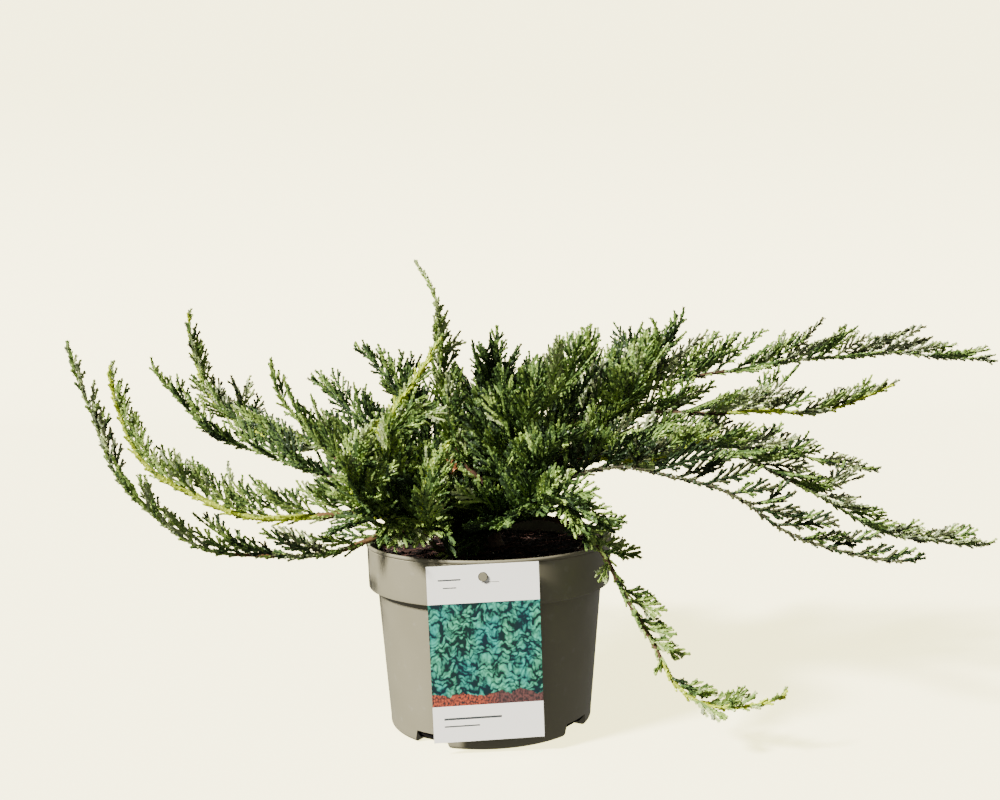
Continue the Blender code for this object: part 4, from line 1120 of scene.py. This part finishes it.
def make_fibres():
    """Thin curved fibres of bark that lie on the soil, as three-sided tubes."""
    places, rng = scattered(FIBRE_COUNT, 31, 8.0)
    shapes = []
    for place in places:
        length = rng.uniform(3.0, 13.0)
        turn = rng.uniform(0, 2 * np.pi)
        way = np.array((math.cos(turn), math.sin(turn), rng.uniform(-0.1, 0.25)))
        side = np.array((-math.sin(turn), math.cos(turn), 0.0)) * rng.uniform(-0.3, 0.3)
        share = np.linspace(0, 1, 5)[:, None]
        line = place + (0, 0, 0.7) + way * share * length + side * share**2 * length
        shapes.append(tube(line, np.full(5, rng.uniform(0.18, 0.42)), 4, 0.0, 1))
    return mesh_object("soil_fibres", *joined(shapes))


def make_specks():
    places, rng = scattered(26, 41)
    return mesh_object("soil_specks", *lumps(places + (0, 0, 0.8), rng.uniform(0.4, 1.0, len(places)), 42))


# Materials


class Value:
    """A node socket that arithmetic can be written with."""

    def __init__(self, graph, socket):
        self.graph = graph
        self.socket = socket

    def _math(self, operation, *inputs):
        return self.graph.node("ShaderNodeMath", {"operation": operation}, dict(enumerate(inputs)))

    def __add__(self, other):
        return self._math("ADD", self, other)

    __radd__ = __add__

    def __sub__(self, other):
        return self._math("SUBTRACT", self, other)

    def __rsub__(self, other):
        return self._math("SUBTRACT", other, self)

    def __mul__(self, other):
        return self._math("MULTIPLY", self, other)

    __rmul__ = __mul__

    def __truediv__(self, other):
        return self._math("DIVIDE", self, other)

    def __gt__(self, other):
        return self._math("GREATER_THAN", self, other)

    def __lt__(self, other):
        return self._math("LESS_THAN", self, other)


class Graph:
    """The node tree of one material."""

    def __init__(self, name, roughness=0.6, **constants):
        self.material = bpy.data.materials.new(name)
        self.material.use_nodes = True
        self.tree = self.material.node_tree
        self.shader = self.tree.nodes["Principled BSDF"]
        self.shader.inputs["Roughness"].default_value = roughness
        for socket, value in constants.items():
            self.shader.inputs[socket.replace("_", " ")].default_value = value

    def node(self, kind, settings=None, inputs=None, output=0):
        """Adds a node: its settings first, then its inputs as values or links. Returns one of its outputs."""
        made = self.tree.nodes.new(kind)
        for name, value in (settings or {}).items():
            setattr(made, name, value)
        for name, value in (inputs or {}).items():
            if isinstance(value, Value):
                self.tree.links.new(value.socket, made.inputs[name])
            else:
                made.inputs[name].default_value = value
        return Value(self, made.outputs[output])

    def place(self):
        return self.node("ShaderNodeTexCoord", output="Object")

    def noise(self, scale, detail=4.0, where=None, roughness=0.55):
        inputs = {"Scale": scale, "Detail": detail, "Roughness": roughness, "Vector": where or self.place()}
        return self.node("ShaderNodeTexNoise", {}, inputs, "Fac")

    def mix(self, share, first, second):
        """Blend of two colours."""
        made = self.tree.nodes.new("ShaderNodeMix")
        made.data_type = "RGBA"
        for index, value in ((0, share), (6, first), (7, second)):
            if isinstance(value, Value):
                self.tree.links.new(value.socket, made.inputs[index])
            else:
                made.inputs[index].default_value = value
        return Value(self, made.outputs[2])

    def ramp(self, value, low, high):
        """Maps low to 0 and high to 1, with an even slope."""
        inputs = {"Value": value, "From Min": low, "From Max": high}
        return self.node("ShaderNodeMapRange", {"clamp": True}, inputs)

    def drive(self, socket, value):
        self.tree.links.new(value.socket, self.shader.inputs[socket])

    def bump(self, height, strength, distance):
        inputs = {"Strength": strength, "Distance": distance, "Height": height}
        self.drive("Normal", self.node("ShaderNodeBump", {}, inputs, "Normal"))


def rgba(colour):
    return (*colour, 1.0)


def needle_material(name):
    """A plain green, waxy enough to catch the light."""
    graph = Graph("needles " + name, 0.42, Specular_IOR_Level=0.35)
    graph.shader.inputs["Base Color"].default_value = rgba(KINDS[name])
    return graph.material


def twig_material(name):
    graph = Graph("twigs " + name, 0.65, Specular_IOR_Level=0.2)
    # The core's colour is its kind's colour darkened: painted shade between the needles.
    graph.shader.inputs["Base Color"].default_value = rgba(np.array(KINDS[name]) * TWIG_PAINTED_SHADE)
    return graph.material


def bark_material(name, dark, light, scale):
    graph = Graph(name, 0.85, Specular_IOR_Level=0.25)
    coarse = graph.noise(scale, 5.0)
    fine = graph.noise(scale * 5, 4.0)
    share = graph.ramp(coarse * 0.6 + fine * 0.4, 0.36, 0.64)
    graph.drive("Base Color", graph.mix(share, rgba(dark), rgba(light)))
    graph.bump(fine, 0.6, 0.0006)
    return graph.material


def pot_material():
    """Matt taupe plastic, a little dusty and scuffed."""
    graph = Graph("pot plastic", 0.5, Specular_IOR_Level=0.35)
    cloud = graph.ramp(graph.noise(16.0, 4.0), 0.3, 0.7)
    scuff = graph.ramp(graph.noise(140.0, 3.0), 0.62, 0.72)
    body = graph.mix(cloud, rgba((0.148, 0.137, 0.088)), rgba((0.17, 0.157, 0.104)))
    graph.drive("Base Color", graph.mix(scuff * 0.2, body, rgba((0.25, 0.24, 0.2))))
    graph.drive("Roughness", graph.ramp(graph.noise(30.0, 4.0), -0.6, 1.8))
    graph.bump(graph.noise(900.0, 2.0), 0.08, 0.0002)
    return graph.material


def soil_material(name, dark, light):
    graph = Graph(name, 0.9, Specular_IOR_Level=0.2)
    share = graph.ramp(graph.noise(300.0, 5.0), 0.35, 0.7)
    graph.drive("Base Color", graph.mix(share, rgba(dark), rgba(light)))
    graph.bump(graph.noise(700.0, 4.0), 0.7, 0.0008)
    return graph.material


def label_material():
    """White card with a made-up picture of low evergreen cover over a strip of bare earth, and plain rules."""
    graph = Graph("label print", 0.38, Specular_IOR_Level=0.5)
    card = graph.node("ShaderNodeUVMap", {"uv_map": "card"}, {}, "UV")
    parts = graph.tree.nodes.new("ShaderNodeSeparateXYZ")
    graph.tree.links.new(card.socket, parts.inputs[0])
    across = Value(graph, parts.outputs[0])
    down = Value(graph, parts.outputs[1])
    stir = {"Vector": card, "Scale": 9.0, "Detail": 2.0}
    stirred = graph.node("ShaderNodeTexNoise", {}, stir, "Color")
    bent = graph.node("ShaderNodeVectorMath", {"operation": "MULTIPLY_ADD"}, {0: stirred, 1: (0.16,) * 3, 2: card})
    clump = {"Vector": card, "Scale": 8.0, "Randomness": 0.9}
    middle = graph.node("ShaderNodeTexVoronoi", {}, clump, "Distance")
    leaf = graph.node("ShaderNodeMapping", {}, {"Vector": bent, "Rotation": (0.0, 0.0, 0.7), "Scale": (1.0, 2.6, 1.0)})
    leaves = graph.node("ShaderNodeTexVoronoi", {}, {"Vector": leaf, "Scale": 17.0}, "Distance")
    leafy = graph.noise(60.0, 4.0, card)
    blobs = graph.noise(4.0, 2.0, card)
    shade = graph.ramp(middle * 0.3 + leaves * 0.95 + leafy * 0.5, 0.5, 1.02)
    green = graph.mix(shade, rgba((0.09, 0.5, 0.28)), rgba((0.002, 0.016, 0.014)))
    bluer = graph.mix(shade, rgba((0.03, 0.37, 0.29)), rgba((0.002, 0.014, 0.022)))
    green = graph.mix(graph.ramp(blobs, 0.4, 0.6), green, bluer)
    tone = graph.mix(graph.ramp(across, 0.42, 0.62), rgba((0.4, 0.075, 0.035)), rgba((0.12, 0.05, 0.045)))
    earth = graph.mix(graph.ramp(leafy, 0.42, 0.58), tone, rgba((0.03, 0.02, 0.02)))
    edge = graph.noise(9.0, 3.0, card) * 0.1
    foot = PICTURE_FOOT / LABEL_LENGTH
    top = PICTURE_TOP / LABEL_LENGTH
    picture = graph.mix((down + edge) > (foot - 0.015), green, earth)
    inside = (down > top) * (down < foot)
    paper = graph.mix(rule_lines(across, down), rgba((0.96, 0.945, 0.87)), rgba((0.05, 0.055, 0.055)))
    graph.drive("Base Color", graph.mix(inside, paper, picture))
    return graph.material


def rule_lines(across, down):
    """A few plain dark rules on the white strips, given as (left, right, top, foot) shares of the card."""
    lines = (
        (0.1, 0.3, 0.075, 0.083),
        (0.14, 0.26, 0.12, 0.126),
        (0.1, 0.62, 0.86, 0.872),
        (0.1, 0.42, 0.905, 0.913),
    )
    total = 0.0
    for left, right, top, foot in lines:
        inside = (across > left) * (across < right) * (down > top) * (down < foot)
        total = inside + total
    return total


def plain_material(name, colour, roughness):
    graph = Graph(name, roughness)
    share = graph.ramp(graph.noise(120.0, 2.0), 0.3, 0.7)
    dark = tuple(np.array(colour) * 0.85)
    graph.drive("Base Color", graph.mix(share, rgba(dark), rgba(colour)))
    return graph.material


# Stage


def make_stage():
    """A pale seamless floor that curves up behind, soft light from the left and a pale world."""
    half = 4.0
    bend = 1.2
    behind = 2.6
    profile = [(-half, 0.0), (behind, 0.0)]
    turn = np.linspace(-90, 0, 24)
    profile += [(behind + bend * math.cos(math.radians(t)), bend + bend * math.sin(math.radians(t))) for t in turn[1:]]
    profile += [(behind + bend, 5.0)]
    points = [(x, y, z - 0.0002) for y, z in profile for x in (-half, half)]
    faces = [(2 * i, 2 * i + 1, 2 * i + 3, 2 * i + 2) for i in range(len(profile) - 1)]
    floor = mesh_object("floor", np.array(points) / MM, faces, smooth=True)
    paper = Graph("backdrop", 0.9)
    paper.shader.inputs["Base Color"].default_value = rgba((0.6, 0.565, 0.44))
    paper.shader.inputs["Emission Color"].default_value = rgba(FLOOR_GLOW_COLOUR)
    paper.shader.inputs["Emission Strength"].default_value = FLOOR_GLOW
    floor.data.materials.append(paper.material)
    floor.visible_diffuse = False
    floor.visible_glossy = False
    world = bpy.data.worlds.new("studio")
    world.use_nodes = True
    background = world.node_tree.nodes["Background"]
    background.inputs["Color"].default_value = rgba((1.0, 0.985, 0.94))
    background.inputs["Strength"].default_value = WORLD_STRENGTH
    bpy.context.scene.world = world
    sun = bpy.data.lights.new("key", "SUN")
    sun.energy = KEY_STRENGTH
    sun.angle = math.radians(KEY_SPREAD)
    sun.color = (1.0, 0.965, 0.9)
    key = bpy.data.objects.new("key", sun)
    key.rotation_euler = Vector(KEY_WAY).to_track_quat("-Z", "Y").to_euler()
    bpy.context.scene.collection.objects.link(key)


def make_camera():
    """The photograph's camera: turned, dipped and rolled, with its principal point right of the middle."""
    lens = bpy.data.cameras.new("photo camera")
    lens.sensor_width = SENSOR
    lens.lens = FOCAL_PIXELS / PHOTO_WIDTH * SENSOR
    lens.shift_x = (PHOTO_WIDTH / 2 - PRINCIPAL_X) / PHOTO_WIDTH
    lens.clip_start = 0.01
    camera = bpy.data.objects.new("photo camera", lens)
    turn, dip, roll = (math.radians(angle) for angle in (CAMERA_TURN, CAMERA_DIP, CAMERA_ROLL))
    ahead = Vector((math.sin(turn) * math.cos(dip), math.cos(turn) * math.cos(dip), -math.sin(dip)))
    right = Vector((math.cos(turn), -math.sin(turn), 0.0))
    up = right.cross(ahead)
    rolled_right = right * math.cos(roll) - up * math.sin(roll)
    rolled_up = up * math.cos(roll) + right * math.sin(roll)
    matrix = Matrix((rolled_right, rolled_up, -ahead)).transposed().to_4x4()
    matrix.translation = Vector(CAMERA_PLACE)
    camera.matrix_world = matrix
    bpy.context.scene.collection.objects.link(camera)
    bpy.context.scene.camera = camera


def place_piece(item, material, nodes):
    item.data.materials.clear()
    item.data.materials.append(material)
    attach(item, "root")
    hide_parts(*nodes)


def main():
    routes = all_routes()
    boughs = sorted(name for name in NODES if name.startswith("bough_"))
    masses = sorted(name for name in NODES if name.startswith("mass_"))
    trunk, bough_wood, stems = make_wood(routes)
    place_piece(trunk, bark_material("old bark", (0.035, 0.022, 0.015), (0.13, 0.085, 0.055), 220.0), ["trunk"])
    young = bark_material("young bark", (0.014, 0.007, 0.003), (0.055, 0.022, 0.007), 260.0)
    place_piece(bough_wood, young, boughs)
    for name, stem in stems.items():
        place_piece(stem, bark_material("stems " + name, *STEM_COLOURS[name], 160.0), masses)
    materials = {}
    for item, label, kind in make_foliage(routes):
        maker = needle_material if label == "needles" else twig_material
        if (label, kind) not in materials:
            materials[label, kind] = maker(kind)
        slot = "deep_foliage" if kind in ("deep", "forest", "green", "olive", "rust") else "pale_foliage"
        place_piece(item, materials[label, kind], masses)
    place_piece(make_pot(), pot_material(), ["pot"])
    place_piece(make_label(), label_material(), ["label"])
    soil, crumbs, fibres, specks = make_soil()
    # The peat is nearly black: a dark soil, darkened further as painted shade under the rim and the crown.
    earth = soil_material("peat", (0.0025, 0.0018, 0.0015), (0.01, 0.006, 0.0045))
    place_piece(soil, earth, ["soil"])
    place_piece(crumbs, soil_material("crumbs", (0.003, 0.002, 0.0017), (0.02, 0.011, 0.008)), ["soil"])
    place_piece(fibres, plain_material("bark fibres", (0.07, 0.026, 0.016), 0.8), ["soil"])
    place_piece(specks, plain_material("specks", (0.45, 0.42, 0.3), 0.7), ["soil"])
    make_stage()
    make_camera()


main()
